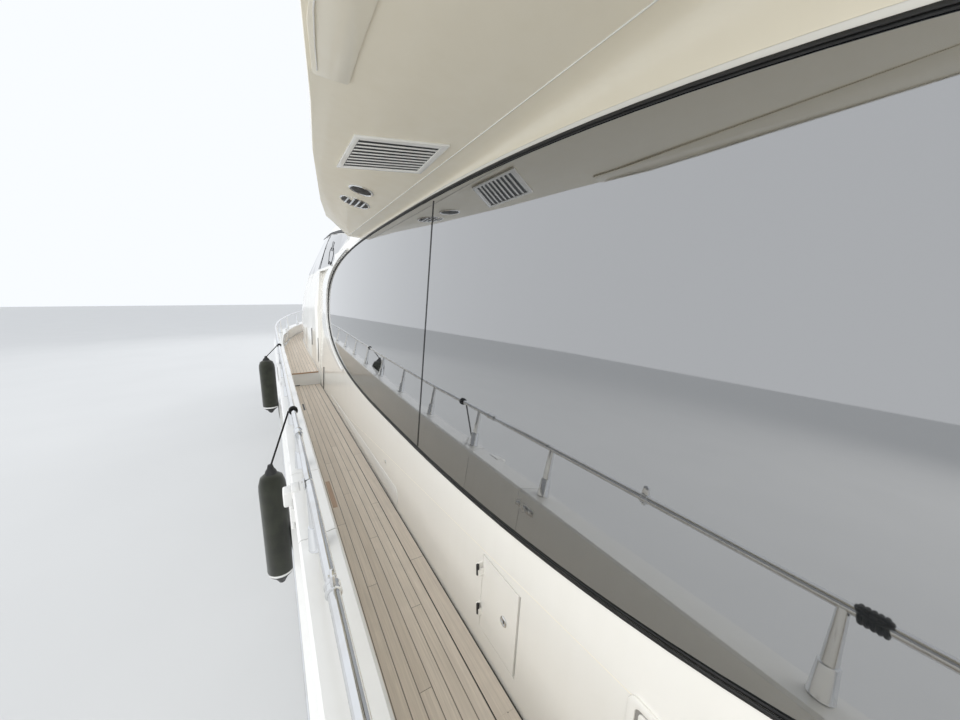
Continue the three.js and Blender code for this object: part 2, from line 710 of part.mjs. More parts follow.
// Half-width that the pilothouse side would have at deck level, over the saloon: [x, half]
const upperHalf = [[FLY_FORE_X, 2359], [PILOT_DROP.x, 2359], [STEP_X, 2425]];
const sideHalf = (x, z, inset) => {
  const base = x < STEP_X ? read(upperHalf, x) : read(trunkHalf, x);
  const lean = read([[2100, 0], [3600, 60], [4150, 150], [4650, 330], [5050, 520]], z);
  return base - lean - inset;
};
const roofTop = (x, y, inset) => {
  const back = x + FRONT_CURVE * y * y;
  const rise = back < RAKE_START_X ? ROOF_Z : ROOF_Z - (back - RAKE_START_X) * RAKE;
  return rise - (y * y) / 90000 - inset;
};

// Section across the boat of the pilothouse, shrunk by an inset.
function pilotSection(x, inset, baseZ) {
  let low = baseZ;
  let high = ROOF_Z + 100;
  for (let i = 0; i < 30; i += 1) {
    const middle = (low + high) / 2;
    if (middle < roofTop(x, sideHalf(x, middle, inset), inset)) low = middle;
    else high = middle;
  }
  const shoulder = low;
  const side = [0, 0.45, 0.7, 0.85, 1].map((part) => {
    const z = lerp(baseZ, shoulder, part);
    return [sideHalf(x, z, inset), z];
  });
  const edge = side[4][0];
  const crown = [0.8, 0.5, 0.2].map((part) => [edge * part, roofTop(x, edge * part, inset)]);
  const half = [...side, ...crown];
  return [...half, ...half.slice().reverse().map(([y, z]) => [-y, z])].map(([y, z]) => [x, y, z]);
}

// The same over the saloon, where it stands on the side walls
function upperSection(x, inset, baseZ) {
  const shell = pilotSection(x, inset, baseZ);
  const shoulder = shell[4][2];
  const side = [baseZ, 4400, 4650, 4800, shoulder].map((z) => [x, sideHalf(x, z, inset), z]);
  const crown = shell.slice(5, 8);
  const half = [...side, ...crown];
  return [...half, ...half.slice().reverse().map(([, y, z]) => [x, -y, z])];
}
const PILOT_LAP = 50;
const UPPER_SHELL = 70;
const UPPER_MIDDLE_X = 1500;
const upperPlaces = [PILOT_DROP.x, 3100, PILOT_AFT_X, PILOT_AFT_X + PILOT_LAP];
const upperOuter = join(
  loft([FLY_FORE_X + GAP, UPPER_MIDDLE_X, ...upperPlaces].map((x) => upperSection(x, 0, WALL_TOP_Z + GAP))),
  loft(upperPlaces.map((x) => upperSection(x, 0, PILOT_DROP.z + GAP))),
);
const upperInnerPlaces = [
  FLY_FORE_X + UPPER_SHELL, UPPER_MIDDLE_X, ...upperPlaces.slice(0, -1), PILOT_AFT_X + 2 * PILOT_LAP,
];
const upperInner = loft(upperInnerPlaces.map((x) => upperSection(x, UPPER_SHELL, PILOT_DROP.z - 40)));
const pilotPlaces = [PILOT_AFT_X, 4400, 5000, 5500, 6100, 6700, 7300, 7900, 8300, PILOT_FORE_X];
const pilotOuter = loft(pilotPlaces.map((x) => pilotSection(x, 0, foredeckZ(x) + GAP)));
const pilotInner = loft([PILOT_AFT_X - 50, ...pilotPlaces.slice(1, -1), PILOT_FORE_X - 130]
  .map((x) => pilotSection(x, 70, foredeckZ(x) - 40)));

// Glass band, seen from the side as [x, z]: it runs from the side windows round the front
const glassBand = [[2700, 4150], [6800, 4130], [8350, 3560], [8950, 3560], [8950, 3900], [5480, 5300],
  [5480, 4900], [4300, 4850], [3150, 4720], [2000, 4560], [1900, 4460], [2560, 4300]];
const bandPrism = sidePrism(glassBand, -3000, 3000);
const pilothouse = cut(join(pilotOuter, upperOuter), pilotInner, upperInner, bandPrism);
add('pilothouse', pilothouse, cream());

const glassOuter = loft(pilotPlaces.map((x) => pilotSection(x, 4, foredeckZ(x) + GAP)));
const glassInner = loft([PILOT_AFT_X - 50, ...pilotPlaces.slice(1, -1), PILOT_FORE_X - 40]
  .map((x) => pilotSection(x, 4 + GLASS_THICK, foredeckZ(x) - 40)));
const bandMiddle = { x: 6500, z: 4600 };
const shrunkBand = glassBand.map(([x, z]) => [
  lerp(bandMiddle.x, x, 0.9995),
  lerp(bandMiddle.z, z, 0.9995),
]);
const bandInner = sidePrism(shrunkBand, -3000, 3000);
const sideGlassOuter = loft([1500, ...upperPlaces].map((x) => upperSection(x, 4, PILOT_DROP.z)));
const sideGlassInner = loft([1400, ...upperPlaces.slice(0, -1), PILOT_AFT_X + 2 * PILOT_LAP]
  .map((x) => upperSection(x, 4 + GLASS_THICK, PILOT_DROP.z - 40)));
const glassShell = cut(join(glassOuter, sideGlassOuter), glassInner, sideGlassInner);
add('windscreen', common(glassShell, bandInner), glass());

// Grilles under the overhang

// A thin plate that follows the underside of the flybridge deck
function soffitPlate(outline, thick) {
  const lowered = (drop) => {
    const copy = flyDeck.clone();
    copy.translate(0, 0, -drop);
    return copy;
  };
  return cut(common(planPrism(outline, SOFFIT_Z - 100, SOFFIT_Z + 200), lowered(thick + GAP)), lowered(GAP));
}
const grillePlate = soffitPlate([[-2295, 2380], [-1863, 2362], [-1420, 2755], [-1970, 2755]], 14);
add('soffit_grille_port', grillePlate, cream());
add('soffit_grille_starboard', mirrored(grillePlate), cream());

// Flybridge coaming: [x, half-width outside]
const coamingHalf = [[-9900, 2560], [-8000, 2660], [-4000, 2700], [-2000, 2560], [-700, 2400],
  [FLY_FRONT_X, 2130]];
const coamingHigh = [[-9900, 5060], [-8000, 5160], [-4000, 5360], [FLY_FRONT_X, 5500]];
const COAMING_THICK = 110;
const FLY_FRONT_TOP = 5494;
const coamingPlaces = [-9900, -8000, -6000, -4000, -2000, -700, FLY_FRONT_X];
const coamingSide = loft(coamingPlaces.map((x) => {
  const half = read(coamingHalf, x);
  const top = read(coamingHigh, x);
  return [
    [x, half, FLY_DECK_Z + GAP], [x, half + 40, lerp(FLY_DECK_Z, top, 0.5)], [x, half - 30, top],
    [x, half - 30 - COAMING_THICK, top], [x, half - COAMING_THICK, FLY_DECK_Z + GAP],
  ];
}));
const frontHalf = read(coamingHalf, FLY_FRONT_X);
const coamingFront = loft([FLY_FRONT_X - 160, FLY_FRONT_X].map((x) => [
  [x, frontHalf - 20, FLY_DECK_Z + GAP], [x, frontHalf - 60, FLY_FRONT_TOP],
  [x, -frontHalf + 60, FLY_FRONT_TOP], [x, -frontHalf + 20, FLY_DECK_Z + GAP],
]));
add('flybridge_coaming', join(coamingSide, mirrored(coamingSide), coamingFront), white());

// Low screen on the front of the coaming
const SCREEN_AFT_X = -1000;
const SCREEN_INSET = 30 + COAMING_THICK / 2;
const SCREEN_LOW = 150;
const SCREEN_RISE = 200;
const SCREEN_LEAN = 0.6;
const SCREEN_TUCK = 0.96;
const screenHalfPlan = [
  ...[SCREEN_AFT_X, -700, -200, 400].map((x) => [x, read(coamingHalf, x) - SCREEN_INSET]),
  [FLY_FRONT_X - 62, 2000], [FLY_FRONT_X - 56, 900], [FLY_FRONT_X - 55, 0],
];
const screenPlan = [...screenHalfPlan, ...screenHalfPlan.slice(0, -1).reverse().map(([x, y]) => [x, -y])];
const screen = loft(screenPlan.map(([x, y]) => {
  const base = read(coamingHigh, x) + GAP + 0.4;
  const high = SCREEN_LOW + SCREEN_RISE * clamp01((x - SCREEN_AFT_X) / 1400);
  const inner = [x - 14, y * 0.994];
  const lean = high * SCREEN_LEAN;
  return [
    [...inner, base],
    [x, y, base],
    [x - lean, y * SCREEN_TUCK, base + high],
    [inner[0] - lean, inner[1] * SCREEN_TUCK, base + high],
  ];
}));
add('flybridge_screen', screen, glass());

const flyTeakPlaces = [-10550, -9900, -8000, -4000, -2000, -700, FLY_FRONT_X - 170];
const flyTeakHalf = (x) => (x < -9800 ? 2430 : read(coamingHalf, x) - COAMING_THICK - 14);
add('teak_flybridge', cut(planPrism([
  ...flyTeakPlaces.map((x) => [x, flyTeakHalf(x)]),
  ...flyTeakPlaces.slice().reverse().map((x) => [x, -flyTeakHalf(x)]),
], FLY_DECK_Z + GAP, FLY_DECK_Z + TEAK_THICK), stairWell), teak());

// Rail round the aft end of the flybridge
const flyRailPlan = [[-9980, 2400], [-10400, 2370], [-10510, 2200], [-10520, 1100], [-10520, 0],
  [-10520, -1100], [-10510, -2200], [-10400, -2370], [-9980, -2400]];
const flyRailTop = flyRailPlan.slice(1).map(([x, y], i) => (
  rod([flyRailPlan[i][0], flyRailPlan[i][1], 5480], [x, y, 5480], 19, 19, 8)));
const flyPosts = flyRailPlan
  .map(([x, y]) => rod([x, y, FLY_DECK_Z + TEAK_THICK + GAP], [x, y, 5480], 16, 14, 6));
add('flybridge_rail', join(...flyRailTop, ...flyPosts), steel());

// Flybridge furniture stands on the teak
const FLY_FLOOR = FLY_DECK_Z + TEAK_THICK + GAP;
const WHEEL = { x: -1070, y: 700, z: 5520, radius: 200 };
const HUB_FORE_X = WHEEL.x + 40;
const CONSOLE_X = WHEEL.x + 170;
const consoleOutline = [[CONSOLE_X, FLY_FLOOR], [CONSOLE_X + 1150, FLY_FLOOR], [CONSOLE_X + 1150, 5400],
  [CONSOLE_X + 550, 5640], [CONSOLE_X + 130, 5640], [CONSOLE_X - 40, 5300]];
const consoleBody = sidePrism(consoleOutline, 100, 1300);
const column = rod([CONSOLE_X + 250, WHEEL.y, WHEEL.z], [HUB_FORE_X + GAP, WHEEL.y, WHEEL.z], 22, 22, 10);
add('flybridge_console', join(consoleBody, column), white());
const wheelRim = new THREE.TorusGeometry(WHEEL.radius, 15, 8, 28);
wheelRim.rotateY(Math.PI / 2);
wheelRim.translate(WHEEL.x, WHEEL.y, WHEEL.z);
const spokes = [0, 120, 240].map((degrees) => {
  const angle = THREE.MathUtils.degToRad(degrees);
  const tip = [WHEEL.x, WHEEL.y + Math.sin(angle) * WHEEL.radius, WHEEL.z + Math.cos(angle) * WHEEL.radius];
  return rod([WHEEL.x, WHEEL.y, WHEEL.z], tip, 9, 9, 8);
});
const hub = rod([WHEEL.x - 20, WHEEL.y, WHEEL.z], [HUB_FORE_X, WHEEL.y, WHEEL.z], 38, 38, 12);
add('helm_wheel', join(wheelRim, hub, ...spokes), black());
add('helm_seat', join(
  box([WHEEL.x - 930, 300, FLY_FLOOR], [WHEEL.x - 480, 1100, FLY_FLOOR + 420]),
  box([WHEEL.x - 960, 300, FLY_FLOOR + 400], [WHEEL.x - 820, 1100, FLY_FLOOR + 950]),
), fabric());
const setteeBase = join(
  box([-4200, -2300, FLY_FLOOR], [-1200, -1600, FLY_FLOOR + 420]),
  box([-4200, -2300, FLY_FLOOR], [-3500, 200, FLY_FLOOR + 420]),
);
add('settee', setteeBase, fabric());
add('flybridge_table', join(
  rod([-2500, -900, FLY_FLOOR], [-2500, -900, FLY_FLOOR + 660], 60, 60, 12),
  box([-3150, -1400, FLY_FLOOR + 640], [-1850, -450, FLY_FLOOR + 680]),
), teak());
const BAR_Z = FLY_FLOOR + 900;
add('wet_bar', box([-6200, 1500, FLY_FLOOR], [-4600, 2380, BAR_Z]), white());

// Radar arch with scanner, domes and masthead light
const ARCH_X = -6900;
const archLeg = (side) => loft([
  [[ARCH_X - 500, side * 2380, FLY_FLOOR], [ARCH_X + 500, side * 2380, FLY_FLOOR],
    [ARCH_X + 500, side * 2180, FLY_FLOOR], [ARCH_X - 500, side * 2180, FLY_FLOOR]],
  [[ARCH_X - 1100, side * 2000, 6500], [ARCH_X - 350, side * 2000, 6500],
    [ARCH_X - 350, side * 1780, 6500], [ARCH_X - 1100, side * 1780, 6500]],
]);
const archTopOutline = [
  [ARCH_X - 1150, 6440],
  [ARCH_X - 300, 6440],
  [ARCH_X - 380, 6600],
  [ARCH_X - 1080, 6600],
];
const archTop = sidePrism(archTopOutline, -2010, 2010);
const RADAR = { x: ARCH_X - 380, z: 7060, half: 560 };
const radarPost = rod([RADAR.x, 0, 6560], [RADAR.x, 0, RADAR.z - 60], 180, 110, 12);
const mast = rod([ARCH_X - 1020, 0, 6560], [ARCH_X - 1150, 0, 8250], 45, 25, 10);
const lamp = rod([ARCH_X - 1150, 0, 8240], [ARCH_X - 1150, 0, 8350], 45, 45, 12);
add('radar_arch', join(archLeg(1), archLeg(-1), archTop, radarPost, mast, lamp), white());
add('radar_scanner', join(
  box([RADAR.x - 60, -RADAR.half, RADAR.z], [RADAR.x + 60, RADAR.half, RADAR.z + 95]),
  rod([RADAR.x, 0, RADAR.z - 60 + GAP], [RADAR.x, 0, RADAR.z + 20], 80, 80, 12),
), white());
const dome = (y) => {
  const profile = [[0, 0], [170, 0], [200, 60], [290, 120], [300, 330], [240, 500], [130, 590], [0, 620]];
  const geometry = new THREE.LatheGeometry(profile.map(([r, z]) => new THREE.Vector2(r, z)), 16);
  geometry.rotateX(Math.PI / 2);
  geometry.translate(ARCH_X - 700, y, 6600 + GAP);
  return geometry;
};
add('dome_port', dome(1250), white());
add('dome_starboard', dome(-1250), white());

// Cockpit, transom, stairs and swim platform

const TRANSOM_GATE = { inner: 1750, outer: 2450 };
const transomWall = box([-11390, -2950, DECK_Z + GAP], [-11252, 2950, 2700]);
const transomPass = (side) => box(
  [-11500, Math.min(side * TRANSOM_GATE.inner, side * TRANSOM_GATE.outer), DECK_Z + 60],
  [-11100, Math.max(side * TRANSOM_GATE.inner, side * TRANSOM_GATE.outer), 2800],
);
add('transom', cut(transomWall, transomPass(1), transomPass(-1)), white());
add('cockpit_sofa', join(
  box([-11220, -1500, DECK_Z + TEAK_THICK + GAP], [-10560, 1500, DECK_Z + 440]),
  box([-11220, -1500, DECK_Z + 400], [-11020, 1500, DECK_Z + 830]),
), fabric());
add('cockpit_table', join(
  rod([-9900, 0, DECK_Z + TEAK_THICK + GAP], [-9900, 0, DECK_Z + 700], 70, 70, 12),
  box([-10250, -900, DECK_Z + 690], [-9550, 900, DECK_Z + 735]),
), teak());
const STAIR_STEPS = 9;
const stairTreads = range(0, STAIR_STEPS - 1, STAIR_STEPS).map((i) => box(
  [-8150 - i * 225, -2300, 2100 + i * 245], [-7880 - i * 225, -1700, 2140 + i * 245],
));
const stairSide = (y) => sidePrism([[-7880, DECK_Z + TEAK_THICK + GAP], [-8130, DECK_Z + TEAK_THICK + GAP],
  [-10260, 4300], [-10130, 4300]], y, y + 30);
add('flybridge_stairs', join(...stairTreads, stairSide(-2310), stairSide(-1710)), teak());
const PLATFORM_AFT_X = -13200;
const platformPlan = [[TRANSOM_X - GAP - 60, 2850], [-12900, 2750], [PLATFORM_AFT_X, 2400],
  [PLATFORM_AFT_X, -2400], [-12900, -2750], [TRANSOM_X - GAP - 60, -2850]];
const boardingSteps = (side) => range(0, 4, 5).map((i) => {
  const high = DECK_Z - 40 - i * 270;
  const fromY = Math.min(side * TRANSOM_GATE.inner, side * TRANSOM_GATE.outer);
  return box([TRANSOM_X - 260 - i * 230, fromY, 420], [TRANSOM_X - GAP - 70, fromY + 700, high]);
});
add('swim_platform', join(
  ...boardingSteps(1),
  ...boardingSteps(-1),
  planPrism(platformPlan, 300, 430),
  box([-11900, -900, 60], [TRANSOM_X - GAP, -800, 320]),
  box([-11900, 800, 60], [TRANSOM_X - GAP, 900, 320]),
), white());
const platformTeak = platformPlan.map(([x, y]) => [x * 0.996 - 30, y * 0.955]);
const stepSpace = (side) => {
  const fromY = Math.min(side * TRANSOM_GATE.inner, side * TRANSOM_GATE.outer);
  return box([-12600, fromY - 6, 400], [TRANSOM_X + 100, fromY + 706, 600]);
};
const platformDeck = planPrism(platformTeak, 430 + GAP, 430 + TEAK_THICK);
add('teak_platform', cut(platformDeck, stepSpace(1), stepSpace(-1)), teak());

// Propellers with their shafts, and rudders

// A propeller turned about its own centre so that its shaft rises towards the engine
function propeller(side) {
  const centre = [0, 0, 0];
  const blades = range(0, 3, 4).map((i) => {
    const blade = new THREE.SphereGeometry(1, 12, 6);
    blade.scale(34, 165, PROP_RADIUS / 2);
    blade.rotateZ(side * 0.62);
    blade.translate(0, 0, PROP_RADIUS / 2);
    blade.rotateX((i * Math.PI) / 2);
    blade.translate(...centre);
    return blade;
  });
  const boss = rod([-150, 0, 0], [130, 0, 0], 60, 85, 14);
  const shaft = rod([120, 0, 0], [STRUT_AFT - GAP, 0, 0], 42, 42, 14);
  const assembly = join(boss, shaft, ...blades);
  assembly.rotateY(-SHAFT_TILT);
  assembly.translate(PROP_X, side * SHAFT_Y, PROP_Z);
  return assembly;
}
add('propeller_port', propeller(1), bronze());
add('propeller_starboard', propeller(-1), bronze());

function rudder(side) {
  const y = side * SHAFT_Y;
  const blade = loft([[RUDDER_TOP - 6, 70], [-1640, 40]].map(([z, half]) => [
    [RUDDER_X - 420, y - 4, z], [RUDDER_X + 60, y - half, z], [RUDDER_X + 230, y - 6, z],
    [RUDDER_X + 230, y + 6, z], [RUDDER_X + 60, y + half, z], [RUDDER_X - 420, y + 4, z],
  ]));
  const stock = rod([RUDDER_X, y, RUDDER_TOP - 60], [RUDDER_X, y, RUDDER_TOP - GAP], 45, 45, 12);
  return join(blade, stock);
}
add('rudder_port', rudder(1), bronze());
add('rudder_starboard', rudder(-1), bronze());

// Foredeck gear

add('windlass', join(
  rod([12350, 0, foredeckZ(12350 + 130) + GAP], [12350, 0, foredeckZ(12350) + 190], 130, 110, 14),
  rod([12350, -170, foredeckZ(12350) + 120], [12350, 170, foredeckZ(12350) + 120], 90, 90, 14),
), steel());
const foreHatch = loft([HATCH.aft, HATCH.fore].map((x) => {
  const z = deckAtTrunk(x) + HATCH.frame + GAP;
  return [[x, HATCH.half, z], [x, HATCH.half, z + 35], [x, -HATCH.half, z + 35], [x, -HATCH.half, z]];
}));
add('foredeck_hatch', foreHatch, glass());
add('sunpad', loft([9020, 9980].map((x) => {
  const z = deckAtTrunk(x) + GAP;
  return [[x, 780, z], [x, 780, z + 110], [x, -780, z + 110], [x, -780, z]];
})), fabric());

// Fenders on the port side, hung from the rail: [x, y, low z, high z, radius]
const fenders = [
  { name: 'fender_mid', x: -900, low: 1290, high: 2290, radius: 98 },
  { name: 'fender_fore', x: 3000, low: 1640, high: 2600, radius: 118 },
];
const RUB_RAIL_Y = HALF_BEAM + 50;
const ROPE_RADIUS = 7;
fenders.forEach((fender) => {
  const profile = [[0, fender.low], [fender.radius * 0.7, fender.low + 30], [fender.radius, fender.low + 120],
    [fender.radius, fender.high - 150], [fender.radius * 0.6, fender.high - 40], [22, fender.high],
    [16, fender.high + 30], [0, fender.high + 34]];
  const body = new THREE.LatheGeometry(profile.map(([r, z]) => new THREE.Vector2(r, z)), 16);
  const y = RUB_RAIL_Y + fender.radius + GAP;
  body.rotateX(Math.PI / 2);
  body.translate(fender.x, y, 0);
  const [hitchX, hitchY, hitchZ] = railPoint(fender.x);
  const hitchRadius = RAIL_RADIUS + ROPE_RADIUS + 1;
  const hitch = new THREE.TorusGeometry(hitchRadius, ROPE_RADIUS, 6, 12);
  hitch.rotateY(Math.PI / 2);
  hitch.translate(hitchX, hitchY, hitchZ);
  const top = [fender.x, y, fender.high + 10];
  const lanyard = rod(top, [hitchX, hitchY + hitchRadius, hitchZ], ROPE_RADIUS, ROPE_RADIUS, 8);
  add(fender.name, join(body, lanyard, hitch), black());
});

export default yacht;
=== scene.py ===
import json
import math
from contextlib import contextmanager

import bpy
from mathutils import Matrix, Vector


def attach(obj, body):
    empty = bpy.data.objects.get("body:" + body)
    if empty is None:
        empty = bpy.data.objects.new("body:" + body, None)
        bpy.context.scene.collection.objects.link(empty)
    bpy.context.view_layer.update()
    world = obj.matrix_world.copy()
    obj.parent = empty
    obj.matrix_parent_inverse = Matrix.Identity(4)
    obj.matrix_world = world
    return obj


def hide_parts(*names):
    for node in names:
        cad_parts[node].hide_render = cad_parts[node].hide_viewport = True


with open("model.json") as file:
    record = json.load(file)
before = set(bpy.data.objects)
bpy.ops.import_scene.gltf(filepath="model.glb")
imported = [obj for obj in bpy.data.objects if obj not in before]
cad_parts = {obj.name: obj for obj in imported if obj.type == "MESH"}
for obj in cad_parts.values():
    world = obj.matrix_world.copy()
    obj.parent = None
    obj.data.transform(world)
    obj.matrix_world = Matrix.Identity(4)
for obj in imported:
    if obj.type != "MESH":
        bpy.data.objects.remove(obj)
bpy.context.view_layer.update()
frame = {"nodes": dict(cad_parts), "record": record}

# Looks of a flybridge motor yacht, in metres: +X to the bow, +Y to port, floor at the waterline.

NODES = frame["nodes"]
YACHT = "yacht"

# Driving sizes, as the part gives them
HALF_BEAM = 3.15
DECK_Z = 1.85
TEAK_TOP_Z = 1.8682
STEP_X = 3.85
FOREDECK_Z = 2.105
FLY_FLOOR = 4.6684
RUB_RAIL_Y = 3.2
RAIL_RADIUS = 0.019
RAIL_INSET = 0.045
ROPE_RADIUS = 0.007


# Selecting

def pick(obj=None):
    """Edit mode left and all deselected; then one object selected and active, if given."""
    if bpy.context.object and bpy.context.object.mode == "EDIT":
        bpy.ops.object.mode_set(mode="OBJECT")
    bpy.ops.object.select_all(action="DESELECT")
    if obj:
        obj.select_set(True)
        bpy.context.view_layer.objects.active = obj


@contextmanager
def editing(obj):
    """Edit mode with the whole mesh selected."""
    pick(obj)
    bpy.ops.object.mode_set(mode="EDIT")
    bpy.ops.mesh.select_all(action="SELECT")
    yield
    bpy.ops.object.mode_set(mode="OBJECT")


def settle(obj):
    """Object at the origin, unturned, with its place in its mesh."""
    pick(obj)
    bpy.ops.object.transform_apply(location=True, rotation=True, scale=True)


def outward(obj):
    """Doubles merged and faces turned outwards."""
    with editing(obj):
        bpy.ops.mesh.remove_doubles(threshold=0.00005)
        bpy.ops.mesh.normals_make_consistent(inside=False)
    return obj


def apply_modifier(obj, kind, **settings):
    pick(obj)
    modifier = obj.modifiers.new(kind.title(), kind)
    for key, value in settings.items():
        setattr(modifier, key, value)
    bpy.ops.object.modifier_apply(modifier=modifier.name)


def soften(obj, width):
    apply_modifier(obj, "BEVEL", width=width, segments=2, limit_method="ANGLE", angle_limit=math.radians(30))


# Forms made as by hand

def angles(count):
    """Evenly spaced angles of one turn."""
    return [2 * math.pi * k / count for k in range(count)]


def rectangle(low, high, grow=0.0):
    """Corners of a rectangle in turn, grown by a margin; low and high are opposite corners."""
    (x0, y0), (x1, y1) = low, high
    return [(x0 - grow, y0 - grow), (x1 + grow, y0 - grow), (x1 + grow, y1 + grow), (x0 - grow, y1 + grow)]


def block(low, high, bevel=0.0, segments=3):
    """A cube at its size and place with bevelled edges."""
    pick()
    low, high = Vector(low), Vector(high)
    bpy.ops.mesh.primitive_cube_add(size=1.0, location=(low + high) / 2, scale=high - low)
    obj = bpy.context.object
    settle(obj)
    if bevel:
        with editing(obj):
            bpy.ops.mesh.bevel(offset=bevel, segments=segments, affect="EDGES")
    return obj


def spun(profile, place=(0, 0, 0), along=(0, 0, 1), sides=32):
    """A disc extruded and resized step by step; profile has (radius, height) pairs along the axis."""
    pick()
    radius, height = profile[0]
    bpy.ops.mesh.primitive_circle_add(vertices=sides, radius=radius, location=(0, 0, height),
                                      fill_type="NGON")
    obj = bpy.context.object
    settle(obj)
    with editing(obj):
        for (_, low), (_, high) in zip(profile, profile[1:]):
            bpy.ops.mesh.extrude_region_move(TRANSFORM_OT_translate={"value": (0, 0, high - low)})
    for ring, (ring_radius, _) in enumerate(profile):
        for vertex in obj.data.vertices[ring * sides:(ring + 1) * sides]:
            vertex.co.x *= ring_radius / radius
            vertex.co.y *= ring_radius / radius
    turn = Vector((0, 0, 1)).rotation_difference(Vector(along).normalized())
    obj.data.transform(Matrix.Translation(Vector(place)) @ turn.to_matrix().to_4x4())
    return outward(obj)


def tube(points, radius, sides=12, closed=False, curved=True, steps=4):
    """A curve through points with a round section, made a mesh."""
    pick()
    bpy.ops.curve.primitive_bezier_curve_add()
    obj = bpy.context.object
    obj.matrix_world = Matrix.Identity(4)
    curve = obj.data
    curve.splines.clear()
    spline = curve.splines.new("BEZIER")
    spline.bezier_points.add(len(points) - 1)
    for knot, point in zip(spline.bezier_points, points):
        knot.co = point
        knot.handle_left_type = knot.handle_right_type = "AUTO" if curved else "VECTOR"
    spline.use_cyclic_u = closed
    curve.dimensions = "3D"
    curve.resolution_u = steps if curved else 1
    curve.bevel_depth = radius
    curve.bevel_resolution = max(sides // 4 - 1, 0)
    curve.use_fill_caps = not closed
    bpy.ops.object.convert(target="MESH")
    return outward(bpy.context.object)


def rod(start, end, radius, sides=12):
    return tube([start, end], radius, sides, curved=False)


def panel(outline, rise, bevel=0.0):
    """A flat face with the given corners, extruded by rise, its rim bevelled."""
    pick()
    bpy.ops.mesh.primitive_circle_add(vertices=len(outline), radius=1.0, fill_type="NGON")
    obj = bpy.context.object
    for vertex, point in zip(obj.data.vertices, outline):
        vertex.co = point
    with editing(obj):
        bpy.ops.mesh.extrude_region_move(TRANSFORM_OT_translate={"value": rise})
    outward(obj)
    if bevel:
        soften(obj, bevel)
    return obj


def band(outer, inner, rise, bevel=0.0):
    """Two loops of points bridged to a ring, raised by rise."""
    pick()
    count = len(outer)
    bpy.ops.mesh.primitive_circle_add(vertices=count, radius=2.0)
    obj = bpy.context.object
    with editing(obj):
        bpy.ops.mesh.primitive_circle_add(vertices=count, radius=1.0)
        bpy.ops.mesh.select_all(action="SELECT")
        bpy.ops.mesh.bridge_edge_loops()
    for vertex, point in zip(obj.data.vertices, [*outer, *inner]):
        vertex.co = point
    with editing(obj):
        bpy.ops.mesh.extrude_region_move(TRANSFORM_OT_translate={"value": rise})
    outward(obj)
    if bevel:
        soften(obj, bevel)
    return obj


def skin(columns, rows, place, thickness, offset=-1.0):
    """A grid laid over place(u, v), u and v from 0 to 1, then given a thickness."""
    pick()
    bpy.ops.mesh.primitive_grid_add(x_subdivisions=columns, y_subdivisions=rows, size=2.0)
    obj = bpy.context.object
    for vertex in obj.data.vertices:
        vertex.co = place((vertex.co.x + 1) / 2, (vertex.co.y + 1) / 2)
    apply_modifier(obj, "SOLIDIFY", thickness=thickness, offset=offset)
    return outward(obj)


# Finishing

def merge(*objects):
    """Several finished meshes as one."""
    pick()
    for obj in objects:
        obj.select_set(True)
    bpy.context.view_layer.objects.active = objects[0]
    if len(objects) > 1:
        bpy.ops.object.join()
    return bpy.context.object


def copy_to(obj, move=(0, 0, 0)):
    twin = obj.copy()
    twin.data = obj.data.copy()
    bpy.context.scene.collection.objects.link(twin)
    twin.data.transform(Matrix.Translation(Vector(move)))
    return twin


def mirror_copy(obj):
    """The same form on the other side of the boat."""
    twin = copy_to(obj)
    twin.data.transform(Matrix.Scale(-1, 4, Vector((0, 1, 0))))
    twin.data.flip_normals()
    return twin


def piece(name, material, *parts, body=YACHT, replaced=(), degrees=35, slot=None):
    """Parts made one piece that rides on a body and may stand for CAD nodes."""
    obj = merge(*parts)
    settle(obj)
    bpy.ops.object.shade_smooth_by_angle(angle=math.radians(degrees))
    obj.name = name
    obj.data.name = name
    obj.data.materials.clear()
    obj.data.materials.append(material)
    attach(obj, body)
    slot or SLOT_OF[material.name]
    if replaced:
        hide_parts(*replaced)
    return obj


def pair(name, material, *parts, body=YACHT, replaced="", degrees=35, slot=None):
    """The port piece and its mirrored starboard one; SIDE in names becomes port or starboard."""
    port = merge(*parts)
    starboard = mirror_copy(port)
    for obj, side in ((port, "port"), (starboard, "starboard")):
        nodes = (replaced.replace("SIDE", side),) if replaced else ()
        piece(name.replace("SIDE", side), material, obj, body=body.replace("SIDE", side), replaced=nodes,
              degrees=degrees, slot=slot)


# Curves of the hull and house, as the part has them

SHEER = [(0.0, 2.4), (2.5, 2.45), (5.5, 2.55), (8.5, 2.67), (11.5, 2.8), (13.8, 2.9)]
BOW_X = 13.8
BOW_CURVE_X = 5.6
TRANSOM_X = -11.4
STERN_CURVE_X = -3.0
WALL_SILL = (2.364, 2.61)
WALL_TOP = (2.2, 4.29)
WALL_FOOT_Y = 2.425
WALL_TILT = 0.07
PILOT_HALF = [(0.65, 2.359), (2.45, 2.359), (3.85, 2.425), (6.5, 2.425), (8.0, 2.4), (8.7, 2.33), (9.4, 2.08),
              (10.2, 1.6), (11.0, 1.08), (11.6, 0.64), (11.85, 0.38)]
PILOT_LEAN = [(2.1, 0.0), (3.6, 0.06), (4.15, 0.15), (4.65, 0.33), (5.05, 0.52)]
TRUNK_TOP = [(8.65, 3.43), (9.0, 3.29), (10.2, 3.01), (11.2, 2.86), (11.85, 2.76)]
EYE = {"x": -0.7, "z": 3.556, "fore": 3.78, "aft": 3.9, "up": 0.72, "down": 1.026}
CREASE_Y, CREASE_Z = 2.32, 4.322
LIP = [(-10.7, 2.78), (-9.8, 2.96), (-7.0, 3.05), (-4.0, 3.085), (-2.7, 3.046), (-2.1, 2.963), (-1.5, 2.897),
       (-0.35, 2.724), (0.33, 2.59), (0.56, 2.5), (0.65, 2.33)]


